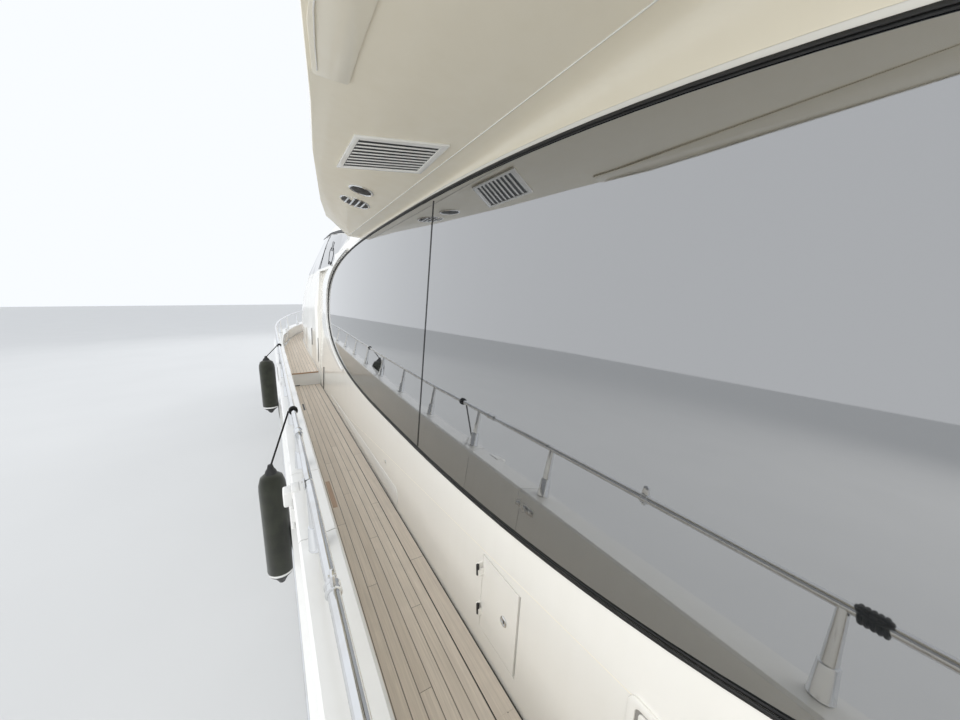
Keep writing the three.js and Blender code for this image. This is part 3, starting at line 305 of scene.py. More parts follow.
def read(table, place):
    if place <= table[0][0]:
        return table[0][1]
    for (x0, v0), (x1, v1) in zip(table, table[1:]):
        if place <= x1:
            return v0 + (v1 - v0) * (place - x0) / (x1 - x0)
    return table[-1][1]


def clamp(value, low=0.0, high=1.0):
    return min(max(value, low), high)


def plan_half(x):
    """Half the deck's width, narrowing to the bow and a little to the stern."""
    bow = clamp((x - BOW_CURVE_X) / (BOW_X - BOW_CURVE_X))
    stern = clamp((STERN_CURVE_X - x) / (STERN_CURVE_X - TRANSOM_X))
    return (HALF_BEAM - 0.17 * stern ** 2) * (1 - bow ** 2.2)


def edge_point(x, inset, z):
    """A point beside the hull edge, inset metres inside it."""
    slope = (plan_half(x + 0.005) - plan_half(x - 0.005)) / 0.01
    size = math.hypot(1, slope)
    return Vector((x + slope / size * inset, plan_half(x) - inset / size, z))


def cap_z(x):
    return read(SHEER, x)


def rail_point(x):
    """Centre of the guard rail, which rises a little over the foredeck."""
    return edge_point(x, RAIL_INSET, cap_z(x) + 0.33 + 0.09 * clamp((x - 7.0) / 6.0))


def foredeck_z(x):
    return FOREDECK_Z + 0.055 * max(0.0, x - STEP_X)


def pilot_y(z, x):
    """Y of the pilothouse's and trunk's side."""
    return read(PILOT_HALF, x) - read(PILOT_LEAN, z)


def roof_z(x, y):
    """Height of the pilothouse roof and of its raked front."""
    back = x + 0.17 * y * y
    return 5.0 - max(back - 5.3, 0.0) * 0.46 - 0.0111 * y * y


def wall_y(z):
    """Y of the upper wall, which holds the side window."""
    return WALL_SILL[0] + (WALL_TOP[0] - WALL_SILL[0]) * (z - WALL_SILL[1]) / (WALL_TOP[1] - WALL_SILL[1])


def knuckle_line_z(x):
    return 2.26 - 0.1 * (x + 1.4)


def low_wall_y(z, x):
    """Y of the lower wall, which leans in above its knuckle."""
    knuckle_z = clamp(knuckle_line_z(x), 1.90, 2.56)
    knuckle_y = WALL_FOOT_Y - WALL_TILT * (knuckle_z - DECK_Z)
    if z > knuckle_z:
        return knuckle_y - (knuckle_y - WALL_SILL[0]) * (z - knuckle_z) / (WALL_SILL[1] - knuckle_z)
    return WALL_FOOT_Y - WALL_TILT * (z - DECK_Z)


def on_wall(x, z, out=-0.001):
    return Vector((x, low_wall_y(z, x) + out, z))


def eye_point(angle, grow=0.0):
    """Point of the side window's outline, grown by a margin, as (x, z)."""
    c, s = math.cos(angle), math.sin(angle)
    along = EYE["fore"] if c >= 0 else EYE["aft"]
    height = EYE["up"] if s >= 0 else EYE["down"]
    power = 2.5 if s >= 0 else (2.3 if c >= 0 else 3.0)
    return (EYE["x"] + math.copysign(abs(c) ** (2 / power), c) * (along + grow),
            EYE["z"] + math.copysign(abs(s) ** (2 / power), s) * (height + grow))


def soffit_z(x, y):
    return CREASE_Z + max(y - CREASE_Y, -0.11) / (read(LIP, x) - CREASE_Y) * 0.138


def under_soffit(x, y, drop):
    return Vector((x, y, soffit_z(x, y) - drop))


# Shader groups

def new_group(name, inputs, outputs):
    group = bpy.data.node_groups.new(name, "ShaderNodeTree")
    inputs = [("Vector", "Vector", (0, 0, 0)), *((label, "Float", value) for label, value in inputs)]
    for label, kind, value in inputs:
        socket = group.interface.new_socket(name=label, in_out="INPUT", socket_type="NodeSocket" + kind)
        socket.default_value = value
    for label in outputs:
        group.interface.new_socket(name=label, in_out="OUTPUT", socket_type="NodeSocketFloat")
    start = group.nodes.new("NodeGroupInput")
    end = group.nodes.new("NodeGroupOutput")
    return group, start.outputs, end.inputs


def feed(tree, source, socket):
    """A constant, a colour or another node's output put into a socket."""
    if isinstance(source, (int, float)):
        socket.default_value = source
    elif isinstance(source, tuple):
        socket.default_value = (*source[:3], 1.0) if socket.type == "RGBA" else source
    else:
        tree.links.new(source, socket)


def add_node(tree, kind, sockets, **settings):
    """A shader node with its settings, fed by socket label or number; gives its outputs."""
    node = tree.nodes.new("ShaderNode" + kind)
    for key, value in settings.items():
        setattr(node, key, value)
    for label, source in sockets.items():
        feed(tree, source, node.inputs[label])
    return node.outputs


def calc(tree, operation, first, second=0.0):
    return add_node(tree, "Math", {0: first, 1: second}, operation=operation)[0]


def noise(tree, vector, scale, detail=3.0, roughness=0.5):
    sockets = {"Vector": vector, "Scale": scale, "Detail": detail, "Roughness": roughness}
    return add_node(tree, "TexNoise", sockets)[0]


def stretched(tree, vector, scale):
    return add_node(tree, "Mapping", {"Vector": vector, "Scale": scale})[0]


def mix_colour(tree, factor, first, second):
    return add_node(tree, "Mix", {"Factor": factor, "A": first, "B": second}, data_type="RGBA")["Result"]


def ranged(tree, value, low, high, to_low=0.0, to_high=1.0):
    sockets = {"Value": value, "From Min": low, "From Max": high, "To Min": to_low, "To Max": to_high}
    return add_node(tree, "MapRange", sockets)[0]


def split_vector(tree, vector):
    return add_node(tree, "SeparateXYZ", {0: vector})


def build_weather():
    """Faint cloudy soiling, with fine dust and drips down upright faces."""
    group, given, result = new_group("weathering", [("Scale", 1.0), ("Strength", 0.5)], ["Mask", "Fine"])
    cloud = noise(group, given["Vector"], given["Scale"], 4.0, 0.6)
    streak = noise(group, stretched(group, given["Vector"], (9, 9, 0.7)), 1.4)
    mask = ranged(group, calc(group, "MULTIPLY", cloud, streak), 0.18, 0.42)
    feed(group, calc(group, "MULTIPLY", mask, given["Strength"]), result["Mask"])
    feed(group, noise(group, given["Vector"], 160.0, 2.0, 0.7), result["Fine"])
    return group


def build_weave():
    """Two crossed threads as height, and a cloudy tone."""
    group, given, result = new_group("cloth_weave", [("Threads", 500.0)], ["Height", "Tone"])
    x, y, z = split_vector(group, given["Vector"])
    warp, weft = (
        calc(group, "SINE", calc(group, "MULTIPLY", calc(group, "ADD", side, z), given["Threads"]))
        for side in (x, y)
    )
    feed(group, calc(group, "MULTIPLY", warp, weft), result["Height"])
    feed(group, noise(group, given["Vector"], 9.0), result["Tone"])
    return group


def build_planks():
    """Boards along X: seam mask, one random value for each board, and wood grain."""
    group, given, result = new_group(
        "deck_planks", [("Width", 0.06), ("Caulk", 0.005), ("Length", 1.9), ("Shift", 0.0)],
        ["Seam", "Board", "Grain"])
    x, y, _ = split_vector(group, given["Vector"])

    def cell(place, size):
        """Number of the cell that a place falls in, and the distance to its nearer end."""
        number = calc(group, "FLOOR", place)
        part = calc(group, "SUBTRACT", place, number)
        nearer = calc(group, "MINIMUM", part, calc(group, "SUBTRACT", 1.0, part))
        return number, calc(group, "MULTIPLY", nearer, size)

    side = calc(group, "ADD", calc(group, "ABSOLUTE", y), given["Shift"])
    row, from_edge = cell(calc(group, "DIVIDE", side, given["Width"]), given["Width"])
    stagger = calc(group, "FRACT", calc(group, "MULTIPLY", row, 0.618))
    along = calc(group, "ADD", calc(group, "DIVIDE", x, given["Length"]), stagger)
    board, from_end = cell(along, given["Length"])
    half_caulk = calc(group, "MULTIPLY", given["Caulk"], 0.5)
    seam = calc(group, "LESS_THAN", from_edge, half_caulk)
    butt = calc(group, "LESS_THAN", from_end, calc(group, "MULTIPLY", half_caulk, 0.6))
    joined = add_node(group, "CombineXYZ", {0: board, 1: row})[0]
    random = add_node(group, "TexWhiteNoise", {"Vector": joined})
    moved = add_node(group, "VectorMath", {0: given["Vector"], 1: random["Color"]}, operation="ADD")[0]
    feed(group, calc(group, "MAXIMUM", seam, butt), result["Seam"])
    feed(group, random["Value"], result["Board"])
    feed(group, noise(group, stretched(group, moved, (3.0, 140.0, 60.0)), 1.0, 5.0, 0.65), result["Grain"])
    return group


WEATHER = build_weather()
WEAVE = build_weave()
PLANKS = build_planks()


# Materials

def new_material(name):
    material = bpy.data.materials.new(name)
    material.use_nodes = True
    tree = material.node_tree
    shader = tree.nodes["Principled BSDF"].inputs
    place = tree.nodes.new("ShaderNodeTexCoord").outputs["Object"]
    return material, tree, shader, place


def place_group(tree, group, vector, **values):
    return add_node(tree, "Group", {"Vector": vector, **values}, node_tree=group)


def add_bump(tree, shader, height, strength, distance):
    bump = add_node(tree, "Bump", {"Strength": strength, "Distance": distance, "Height": height})
    feed(tree, bump[0], shader["Normal"])


def coated(name, colour, soiled, roughness, coat=0.6, scale=1.3, strength=0.22):
    """Gelcoat: a glossy coat, a slight orange-peel skin, and cloudy soiling."""
    material, tree, shader, place = new_material(name)
    mask = place_group(tree, WEATHER, place, Scale=scale, Strength=strength)["Mask"]
    feed(tree, mix_colour(tree, mask, colour, soiled), shader["Base Color"])
    feed(tree, ranged(tree, mask, 0.0, 1.0, roughness, roughness + 0.22), shader["Roughness"])
    shader["Coat Weight"].default_value = coat
    shader["Coat Roughness"].default_value = 0.06
    add_bump(tree, shader, noise(tree, place, 38.0, 2.0), 0.04, 0.004)
    return material


def metal(name, colour, roughness, brushed, soiled):
    material, tree, shader, place = new_material(name)
    shader["Metallic"].default_value = 1.0
    weather = place_group(tree, WEATHER, place, Scale=6.0, Strength=0.35)
    feed(tree, mix_colour(tree, weather["Mask"], colour, soiled), shader["Base Color"])
    feed(tree, ranged(tree, weather["Fine"], 0.3, 0.7, roughness, roughness + 0.08), shader["Roughness"])
    scratch = noise(tree, stretched(tree, place, (4.0, 220.0, 220.0)), 1.0, 2.0)
    add_bump(tree, shader, scratch, 0.02 + brushed, 0.001)
    return material


def decking(name, light, dark, caulk=(0.26, 0.22, 0.18), width=9.0, shift=0.0, length=1.9):
    """Weathered boards with caulked seams; each board has its own tone."""
    material, tree, shader, place = new_material(name)
    planks = place_group(tree, PLANKS, place, Width=width, Caulk=0.005, Length=length, Shift=shift)
    tone = mix_colour(tree, planks["Board"], light, dark)
    lines = ranged(tree, planks["Grain"], 0.35, 0.75, 0.0, 0.55)
    grained = mix_colour(tree, lines, tone, tuple(c * 0.62 for c in dark))
    weather = place_group(tree, WEATHER, place, Scale=2.2, Strength=0.55)
    aged = mix_colour(tree, weather["Mask"], grained, tuple(c * 0.8 for c in light))
    feed(tree, mix_colour(tree, planks["Seam"], aged, caulk), shader["Base Color"])
    feed(tree, ranged(tree, planks["Seam"], 0.0, 1.0, 0.72, 0.5), shader["Roughness"])
    sunk = calc(tree, "SUBTRACT", calc(tree, "MULTIPLY", planks["Grain"], 0.25), planks["Seam"])
    add_bump(tree, shader, sunk, 0.35, 0.0015)
    return material


def woven(name, colour, shade, threads=1500.0, sheen=0.3):
    material, tree, shader, place = new_material(name)
    weave = place_group(tree, WEAVE, place, Threads=threads)
    feed(tree, mix_colour(tree, ranged(tree, weave["Tone"], 0.35, 0.65), colour, shade), shader["Base Color"])
    for label, value in (("Roughness", 0.85), ("Sheen Weight", sheen), ("Specular IOR Level", 0.25)):
        shader[label].default_value = value
    add_bump(tree, shader, weave["Height"], 0.25, 0.0006)
    return material


def tinted(name, colour, index):
    """Dark mirror glass with faint smears."""
    material, tree, shader, place = new_material(name)
    feed(tree, colour, shader["Base Color"])
    for label, value in (("IOR", index), ("Coat Weight", 1.0), ("Coat Roughness", 0.01)):
        shader[label].default_value = value
    weather = place_group(tree, WEATHER, place, Scale=2.5, Strength=0.5)
    feed(tree, ranged(tree, weather["Mask"], 0.0, 1.0, 0.015, 0.065), shader["Roughness"])
    return material


def moulded(name, colour, roughness):
    material, tree, shader, place = new_material(name)
    weather = place_group(tree, WEATHER, place, Scale=8.0, Strength=0.5)
    worn = tuple(min(c * 1.5 + 0.01, 1.0) for c in colour)
    feed(tree, mix_colour(tree, weather["Mask"], colour, worn), shader["Base Color"])
    rough = ranged(tree, weather["Fine"], 0.3, 0.7, roughness - 0.06, roughness + 0.06)
    feed(tree, rough, shader["Roughness"])
    add_bump(tree, shader, weather["Fine"], 0.2, 0.0006)
    return material


def banded(material, *bands):
    """Other colours on a coated material, each between two heights."""
    tree = material.node_tree
    shader = tree.nodes["Principled BSDF"].inputs
    height = split_vector(tree, tree.nodes["Texture Coordinate"].outputs["Object"])[2]
    whole = shader["Base Color"].links[0].from_socket
    for low, high, other in bands:
        above = ranged(tree, height, low, low + 0.002)
        under = ranged(tree, height, high, high + 0.002, 1.0, 0.0)
        whole = mix_colour(tree, calc(tree, "MULTIPLY", above, under), whole, other)
    feed(tree, whole, shader["Base Color"])
    return material


WHITE_LOOK = ((0.84, 0.84, 0.82), (0.74, 0.73, 0.69), 0.14, 0.8)
BEIGE_LOOK = ((0.93, 0.865, 0.71), (0.87, 0.795, 0.62), 0.3, 0.3, 0.5, 0.4)
GREY_TEAK = (0.86, 0.765, 0.655)
WHITE = coated("white_gelcoat", *WHITE_LOOK)
CREAM = coated("cream_gelcoat", (0.90, 0.885, 0.835), (0.82, 0.80, 0.73), 0.2, 0.6)
BEIGE = coated("soffit_gelcoat", *BEIGE_LOOK)
STEEL = metal("polished_stainless", (0.80, 0.81, 0.82), 0.06, 0.0, (0.62, 0.60, 0.56))
BRONZE = metal("cast_bronze", (0.56, 0.40, 0.18), 0.28, 0.1, (0.28, 0.24, 0.13))
TEAK = decking("deck_teak", GREY_TEAK, (0.74, 0.645, 0.54), width=0.06, shift=0.052)
TEAK_BOARD = decking("margin_teak", GREY_TEAK, (0.77, 0.675, 0.57))
TEAK_PATCH = decking("patched_teak", (0.62, 0.45, 0.33), (0.52, 0.36, 0.26))
TEAK_TRIM = decking("oiled_teak", (0.42, 0.25, 0.13), (0.36, 0.21, 0.11), (0.3, 0.18, 0.1), length=9.0)
GLASS = tinted("tinted_glass", (0.012, 0.013, 0.015), 2.1)
MIRROR = tinted("mirror_glass", (0.020, 0.022, 0.024), 4.2)
RUBBER = moulded("black_rubber", (0.012, 0.012, 0.012), 0.42)
BLACK = moulded("black_plastic", (0.012, 0.012, 0.013), 0.5)
# Painted shade: a grey for the shadow in the recessed groove round the locker lid, whose gelcoat is cream
SHADE = moulded("painted_groove_shade", (0.30, 0.29, 0.27), 0.6)
CUSHION = woven("cushion_cloth", (0.70, 0.66, 0.57), (0.68, 0.635, 0.545))
COVER = woven("fender_cover", (0.018, 0.020, 0.014), (0.030, 0.033, 0.022), 900.0, 0.5)
ROPE = woven("black_rope", (0.010, 0.010, 0.010), (0.018, 0.018, 0.016), 700.0, 0.2)
HULL = banded(coated("hull_gelcoat", *WHITE_LOOK),
              (-3.0, 0.06, (0.045, 0.055, 0.085)), (0.06, 0.19, (0.025, 0.035, 0.075)))
UPPER_DECK = banded(coated("upper_deck_gelcoat", *BEIGE_LOOK), (4.468, 5.0, WHITE_LOOK[0]))

NODE_MATERIALS = {"hull": HULL, "flybridge_deck": UPPER_DECK}
SLOT_MATERIALS = {
    "white_gelcoat": WHITE, "cream_gelcoat": CREAM, "beige_gelcoat": BEIGE, "stainless": STEEL,
    "teak": TEAK, "dark_glass": GLASS, "cushion_fabric": CUSHION, "bronze": BRONZE,
    "black_cover": COVER, "black_plastic": BLACK,
}
SLOT_OF = {material.name: slot for slot, material in SLOT_MATERIALS.items()}
SLOT_OF.update({
    "margin_teak": "teak", "patched_teak": "teak", "oiled_teak": "teak", "mirror_glass": "dark_glass",
    "black_rubber": "black_plastic", "painted_groove_shade": "cream_gelcoat", "black_rope": "black_cover",
})


# CAD nodes: each gets its finish, welded, with softened edges

EDGE_WIDTH = {"white_gelcoat": 0.012, "cream_gelcoat": 0.008, "beige_gelcoat": 0.01, "bronze": 0.006}
THIN_EDGE_WIDTH = 0.0015


def dress_frame():
    slots = {row["node"]: row["material_slot"] for row in frame["record"]["subparts"]}
    for name, obj in NODES.items():
        slot = slots[name]
        obj.data.materials.clear()
        obj.data.materials.append(NODE_MATERIALS.get(name, SLOT_MATERIALS[slot]))
        weld = obj.modifiers.new("Weld", "WELD")
        weld.merge_threshold = 0.0001
        bevel = obj.modifiers.new("Bevel", "BEVEL")
        bevel.width = EDGE_WIDTH.get(slot, THIN_EDGE_WIDTH)
        bevel.segments = 2
        bevel.limit_method = "ANGLE"
        bevel.angle_limit = math.radians(32)
        pick(obj)
        bpy.ops.object.shade_smooth()
        weighted = obj.modifiers.new("Normals", "WEIGHTED_NORMAL")
        weighted.weight = 60


# Camera, floor and lights

def make_camera():
    data = bpy.data.cameras.new("camera")
    data.sensor_width = 36.0
    data.lens = 13.54
    data.clip_end = 400.0
    camera = bpy.data.objects.new("camera", data)
    bpy.context.scene.collection.objects.link(camera)
    camera.location = (-4.0, 3.20, 3.61)
    camera.rotation_euler = Vector((0.8526, -0.4932, -0.1719)).to_track_quat("-Z", "Y").to_euler()
    bpy.context.scene.camera = camera


def make_floor():
    pick()
    bpy.ops.mesh.primitive_plane_add(size=400.0, location=(0, 0, 0))
    floor = bpy.context.object
    floor.name = "floor"
    material, tree, shader, place = new_material("floor")
    speckle = noise(tree, place, 0.4, 2.0)
    feed(tree, mix_colour(tree, speckle, (0.60, 0.605, 0.605), (0.64, 0.645, 0.645)), shader["Base Color"])
    shader["Roughness"].default_value = 0.6
    floor.data.materials.append(material)


def area_light(name, place, target, size, power, colour=(1.0, 1.0, 1.0)):
    data = bpy.data.lights.new(name, "AREA")
    data.shape = "RECTANGLE"
    data.size, data.size_y = size
    data.energy = power
    data.color = colour
    light = bpy.data.objects.new(name, data)
    bpy.context.scene.collection.objects.link(light)
    light.visible_glossy = False
    light.location = place
    light.rotation_euler = (Vector(target) - Vector(place)).to_track_quat("-Z", "Y").to_euler()


def make_lights():
    world = bpy.data.worlds.new("studio")
    bpy.context.scene.world = world
    world.use_nodes = True
    background = world.node_tree.nodes["Background"]
    background.inputs["Color"].default_value = (0.93, 0.96, 1.0, 1.0)
    background.inputs["Strength"].default_value = 1.02
    bpy.context.scene.view_settings.view_transform = "Standard"
    area_light("key", (-16, 28, 20), (0, 0, 2.5), (26, 14), 5600, (1.0, 0.975, 0.94))
    area_light("fill", (14, -28, 20), (0, 0, 2), (24, 14), 2800)
    area_light("front", (34, 6, 16), (4, 0, 2), (16, 12), 900)


# Guard rails

BAR_PIVOT_X = -2.166
SLEEVE_X = -1.49
AFT_STANCHIONS = (-10.85, -9.9, -8.9, -7.9, -6.9, -5.9, -4.9, -3.7, -2.23)
FORE_STANCHIONS = (-1.24, -0.2, 0.9, 2.0, 3.1, 4.2, 5.3, 6.4, 7.5, 8.6, 9.7, 10.8, 11.8, 12.7, 13.40)


def stanchion(x):
    """Wide tapered socket with a groove, and a tapered post up to the rail."""
    top = rail_point(x)
    foot = Vector((top.x, top.y - 0.010, cap_z(x + 0.034) + 0.0004))
    up = top - foot
    tall = up.length - 0.006
    socket = [(0.041, 0.0), (0.0415, 0.003), (0.040, 0.006), (0.0325, 0.118), (0.031, 0.121), (0.028, 0.122)]
    post = [(0.0265, 0.118), (0.0255, 0.124), (0.0195, tall - 0.03), (0.019, tall)]
    return spun(socket, foot, up, 28), spun(post, foot, up, 28)


def rail_line(start, end, stanchions):
    """The rail between two places along the boat, and its stanchions."""
    count = max(int(abs(end - start) / 0.7), 2)
    points = [rail_point(start + (end - start) * i / count) for i in range(count + 1)]
    parts = [tube(points, RAIL_RADIUS, 20, steps=3)]
    for x in stanchions:
        parts += stanchion(x)
    return parts


def collar(x, length=0.09, radius=0.024):
    """Sleeve over the rail, with a bead at each end."""
    start = rail_point(x)
    bead = radius + 0.003
    profile = [(radius, 0), (bead, 0.002), (bead, 0.008), (radius, 0.010), (radius, length - 0.010),
               (bead, length - 0.008), (bead, length - 0.002), (radius, length)]
    return spun(profile, start, rail_point(x + length) - start, 24)


def rail_eye(x):
    """Upright lug with a rounded head on a clamp round the rail, its bolt below."""
    place = rail_point(x)
    head = [(0.016 * math.cos(a), 0.052 + 0.016 * math.sin(a)) for a in angles(20)[:11]]
    outline = [place + Vector((dx, -0.007, dz)) for dx, dz in [(0.021, 0.008), *head, (-0.021, 0.008)]]
    pin = [(0.006, 0), (0.006, 0.022), (0.004, 0.024)]
    nut = [(0.011, 0), (0.012, 0.003), (0.012, 0.012), (0.006, 0.016)]
    return [
        panel(outline, (0, 0.014, 0), 0.003),
        spun(pin, place + Vector((0, -0.011, 0.050)), (0, 1, 0), 16),
        spun(nut, place - Vector((0, 0, 0.020)), (0, 0, -1), 6),
        collar(x - 0.02, 0.04, 0.0225),
    ]


def make_rails():
    pivot = rail_point(BAR_PIVOT_X)
    cheek = block(pivot + Vector((-0.074, 0.0195, -0.013)), pivot + Vector((0.013, 0.027, 0.013)), 0.003)
    pin = spun([(0.009, 0), (0.009, 0.010), (0.007, 0.012)], pivot + Vector((0, 0.022, 0)), (0, 1, 0), 16)
    pair("guard_rail_SIDE_aft", STEEL, *rail_line(-10.9, BAR_PIVOT_X - 0.034, AFT_STANCHIONS), cheek, pin,
         *rail_eye(-2.94), replaced="rail_SIDE_aft")
    pair("guard_rail_SIDE_fore", STEEL, *rail_line(SLEEVE_X, 13.45, FORE_STANCHIONS), collar(SLEEVE_X),
         replaced="rail_SIDE_fore")
    bar = rod(rail_point(BAR_PIVOT_X - 0.016), rail_point(SLEEVE_X - 0.006), RAIL_RADIUS, 20)
    soften(bar, 0.003)
    pair("gate_bar_SIDE", STEEL, bar, body="rail_bar_SIDE_body", replaced="rail_bar_SIDE")


def make_deck_edge():
    """Latch of the gate, socket of a boarding step, and steel rubbing strip along the hull."""
    inner_y = HALF_BEAM - 0.1402
    bolt = [(0.006, 0), (0.006, 0.018), (0.009, 0.020), (0.009, 0.028)]
    pair(
        "gate_latch_SIDE", STEEL,
        block((-2.26, inner_y - 0.004, 2.262), (-2.150, inner_y, 2.312), 0.0015),
        block((-2.25, inner_y - 0.024, 2.274), (-2.222, inner_y - 0.003, 2.300), 0.003),
        block((-2.19, inner_y - 0.024, 2.274), (-2.162, inner_y - 0.003, 2.300), 0.003),
        rod((-2.262, inner_y - 0.014, 2.287), (-2.146, inner_y - 0.014, 2.287), 0.007, 16),
        spun(bolt, (-2.206, inner_y - 0.014, 2.287), (0, -1, 0), 16),
    )
    pair(
        "gate_keeper_SIDE", STEEL,
        block((-2.118, inner_y - 0.003, 2.266), (-2.066, inner_y, 2.308), 0.0012),
        block((-2.112, inner_y - 0.022, 2.276), (-2.084, inner_y - 0.002, 2.298), 0.004),
        body="gate_SIDE_body",
    )
    piece("boarding_step_socket", WHITE, block((-1.60, 3.128, 2.35), (-1.47, 3.178, 2.404), 0.006),
          block((-1.59, 3.172, 2.30), (-1.48, 3.228, 2.398), 0.012), body="gate_port_body")

    def strip_point(u, v):
        angle = math.pi * v
        return edge_point(-11.2 + u * 24.4, -0.0502 - 0.010 * math.sin(angle), 1.76 + 0.022 * math.cos(angle))

    pair("rubbing_strip_SIDE", STEEL, skin(58, 8, strip_point, 0.002, 1.0))


# Side window with its seal, and the house side below it

def eye_loop(grow, out):
    """Outline of the window on the wall plane, moved out by some millimetres."""
    outline = [eye_point(angle, grow) for angle in angles(112)]
    return [Vector((x, wall_y(z) + out, z)) for x, z in outline]


def make_eye_window():
    pane = panel(eye_loop(-0.0013, -0.0205), (0, 0.015, 0), 0.001)
    pair("eye_pane_SIDE", MIRROR, pane, replaced="eye_window_SIDE", degrees=5)
    seal = band(eye_loop(0.004, 0.0015), eye_loop(-0.008, 0.0015), (0, 0.0035, 0), 0.0012)
    pair("window_seal_SIDE", RUBBER, seal, degrees=50, slot="dark_glass")
    bead = band(eye_loop(-0.006, -0.0035), eye_loop(-0.015, -0.0035), (0, 0.003, 0), 0.0008)
    pair("window_bead_SIDE", RUBBER, bead, degrees=50, slot="dark_glass")
    corners = rectangle((-1.664, 2.556), (-1.656, 4.236))
    joint = panel([Vector((x, wall_y(z) - 0.0038, z)) for x, z in corners], (0, 0.0024, 0), 0.0006)
    pair("pane_joint_SIDE", RUBBER, joint, slot="dark_glass")


def round_fitting(x, z, radius, proud):
    profile = [(radius, 0), (radius, proud * 0.5), (radius * 0.86, proud), (radius * 0.4, proud * 1.05)]
    return spun(profile, on_wall(x, z), (0, 1, 0), 24)


def locker_loop(grow, radius):
    """Rounded outline of the locker's lid on the wall, grown by a margin."""
    fore, aft, low, top = -3.486 + grow, -3.834 - grow, 2.066 - grow, 2.456 + grow
    points = []
    for quarter, (x, z) in enumerate(((fore, top), (aft, top), (aft, low), (fore, low))):
        middle = (x - math.copysign(radius, x + 3.66), z - math.copysign(radius, z - 2.25))
        for k in range(6):
            angle = math.pi / 2 * (quarter + k / 5)
            points.append(on_wall(middle[0] + radius * math.cos(angle), middle[1] + radius * math.sin(angle)))
    return points


def make_hatches():
    """Lock and hinges of the side hatch, and the locker farther aft."""
    hatch = "side_hatch_SIDE_body"
    lock = on_wall(-2.84, 2.167, 0.0015)
    ring = [(0.024, 0), (0.024, 0.004), (0.021, 0.007), (0.017, 0.007), (0.016, 0.003)]
    pair("hatch_lock_SIDE", STEEL, spun(ring, lock, (0, 1, 0)), body=hatch)
    keyhole = block(lock - Vector((0.004, 0, 0.01)), lock + Vector((0.004, 0.0042, 0.01)), 0.001)
    pair("hatch_keyhole_SIDE", BLACK, keyhole, body=hatch)
    for name, low, tall, body in (("hatch_hinge_lower", 2.0448, 0.0304, hatch),
                                  ("hatch_hinge_upper", 2.2648, 0.0304, hatch),
                                  ("wall_hinge_lower", 2.0752, 0.0248, YACHT),
                                  ("wall_hinge_upper", 2.2952, 0.0248, YACHT)):
        knuckle = [(0.0076, 0), (0.0082, 0.001), (0.0082, tall - 0.001), (0.0076, tall)]
        pair(name + "_SIDE", BLACK, spun(knuckle, (-2.637, 2.424, low), sides=20), body=body)
    rim = band(locker_loop(0.024, 0.03), locker_loop(-0.002, 0.018), (0, 0.009, 0), 0.003)
    pair("locker_rim_SIDE", CREAM, rim)
    # The grey band round the lid is painted shade for the shadow in the recessed groove
    groove = band(locker_loop(0, 0.018), locker_loop(-0.014, 0.012), (0, 0.0016, 0))
    pair("locker_groove_SIDE", SHADE, groove)
    pair("locker_lid_SIDE", CREAM, panel(locker_loop(-0.012, 0.014), (0, 0.0055, 0), 0.002))
    pair("locker_lock_SIDE", STEEL, round_fitting(-3.77, 2.25, 0.018, 0.009))


def make_wall_fittings():
    pair("wall_fittings_SIDE", STEEL, round_fitting(-0.908, 2.135, 0.017, 0.006),
         block((-0.53, 2.4145, 1.886), (-0.41, 2.4255, 1.904), 0.004),
         block((2.10, 2.4145, 1.873), (2.19, 2.427, 1.889), 0.004))
    # The thin crease line along the knuckle is drawn in the darker beige gelcoat: painted shade for the faint
    # line where the wall folds
    knuckle = [(-4.4, 2.56), *[(x, knuckle_line_z(x)) for x in (-3.9, -2.4, -0.9, 0.6, 2.1)], (3.8, 1.902)]
    crease = tube([on_wall(x, z, -0.0008) for x, z in knuckle], 0.0015, 8, steps=2)
    pair("wall_crease_SIDE", BEIGE, crease, degrees=60)
    # A whiter lens-shaped strip at the wall's foot, 4.5 mm proud: a painted highlight for the light that the
    # wall's lower coving reflects
    count = 12
    top = [(2.386 - 3.60 * i / count, 1.976 + 0.064 * (i / count) ** 0.7) for i in range(count + 1)]
    turn = [(-1.214 - 0.074 * math.sin(a), 1.96 + 0.08 * math.cos(a)) for a in angles(16)[1:9]]
    back = [(-1.214 + 3.60 * i / count, 1.88 + 0.092 * (i / count) ** 1.4) for i in range(1, count)]
    highlight_strip = panel([on_wall(x, z) for x, z in [*top, *turn, *back]], (0, 0.0045, 0), 0.0015)
    pair("wall_flash_SIDE", WHITE, highlight_strip)
    bars = []
    for side_y, x, low, high in (
        (low_wall_y, 3.33, 1.88, 2.30),
        (pilot_y, 3.874, 2.32, 2.80),
        (pilot_y, 5.1, 2.53, 2.91),
    ):
        bars.append(rod((x, side_y(low, x) + 0.005, low), (x, side_y(high, x) + 0.005, high), 0.006))
    pair("wall_grab_bars_SIDE", BLACK, *bars)


# Underside of the overhang: cove, crease, grille, vent and speaker

COVE_FROM_X = -7.58
GRILLE_CORNERS = ((-2.295, 2.38), (-1.863, 2.362), (-1.42, 2.755), (-1.97, 2.755))
PANEL_PLAN = ((-9.0, 2.852), (-2.62, 2.866), (-2.41, 2.857), (-2.388, 2.862), (-2.352, 2.972),
              (-2.362, 2.984), (-2.637, 3.025), (-4.0, 3.062), (-7.0, 3.03), (-9.0, 2.985))


def window_top(x):
    along = EYE["fore"] if x > EYE["x"] else EYE["aft"]
    part = min(abs(x - EYE["x"]) / along, 1.0)
    return EYE["z"] + EYE["up"] * (1 - part ** 2.5) ** 0.4


def bezier(points, t):
    while len(points) > 1:
        points = [a.lerp(b, t) for a, b in zip(points, points[1:])]
    return points[0]


def cove_point(u, v):
    x = COVE_FROM_X + u * 8.1
    low = clamp(window_top(x) + 0.022, 4.0, 4.285)
    corner = Vector((x, 2.204, 4.307))
    start = Vector((x, wall_y(low) + 0.0012, low))
    end = Vector((x, CREASE_Y, CREASE_Z - 0.0012))
    return bezier([start, start.lerp(corner, 0.8), end.lerp(corner, 0.8), end], v)


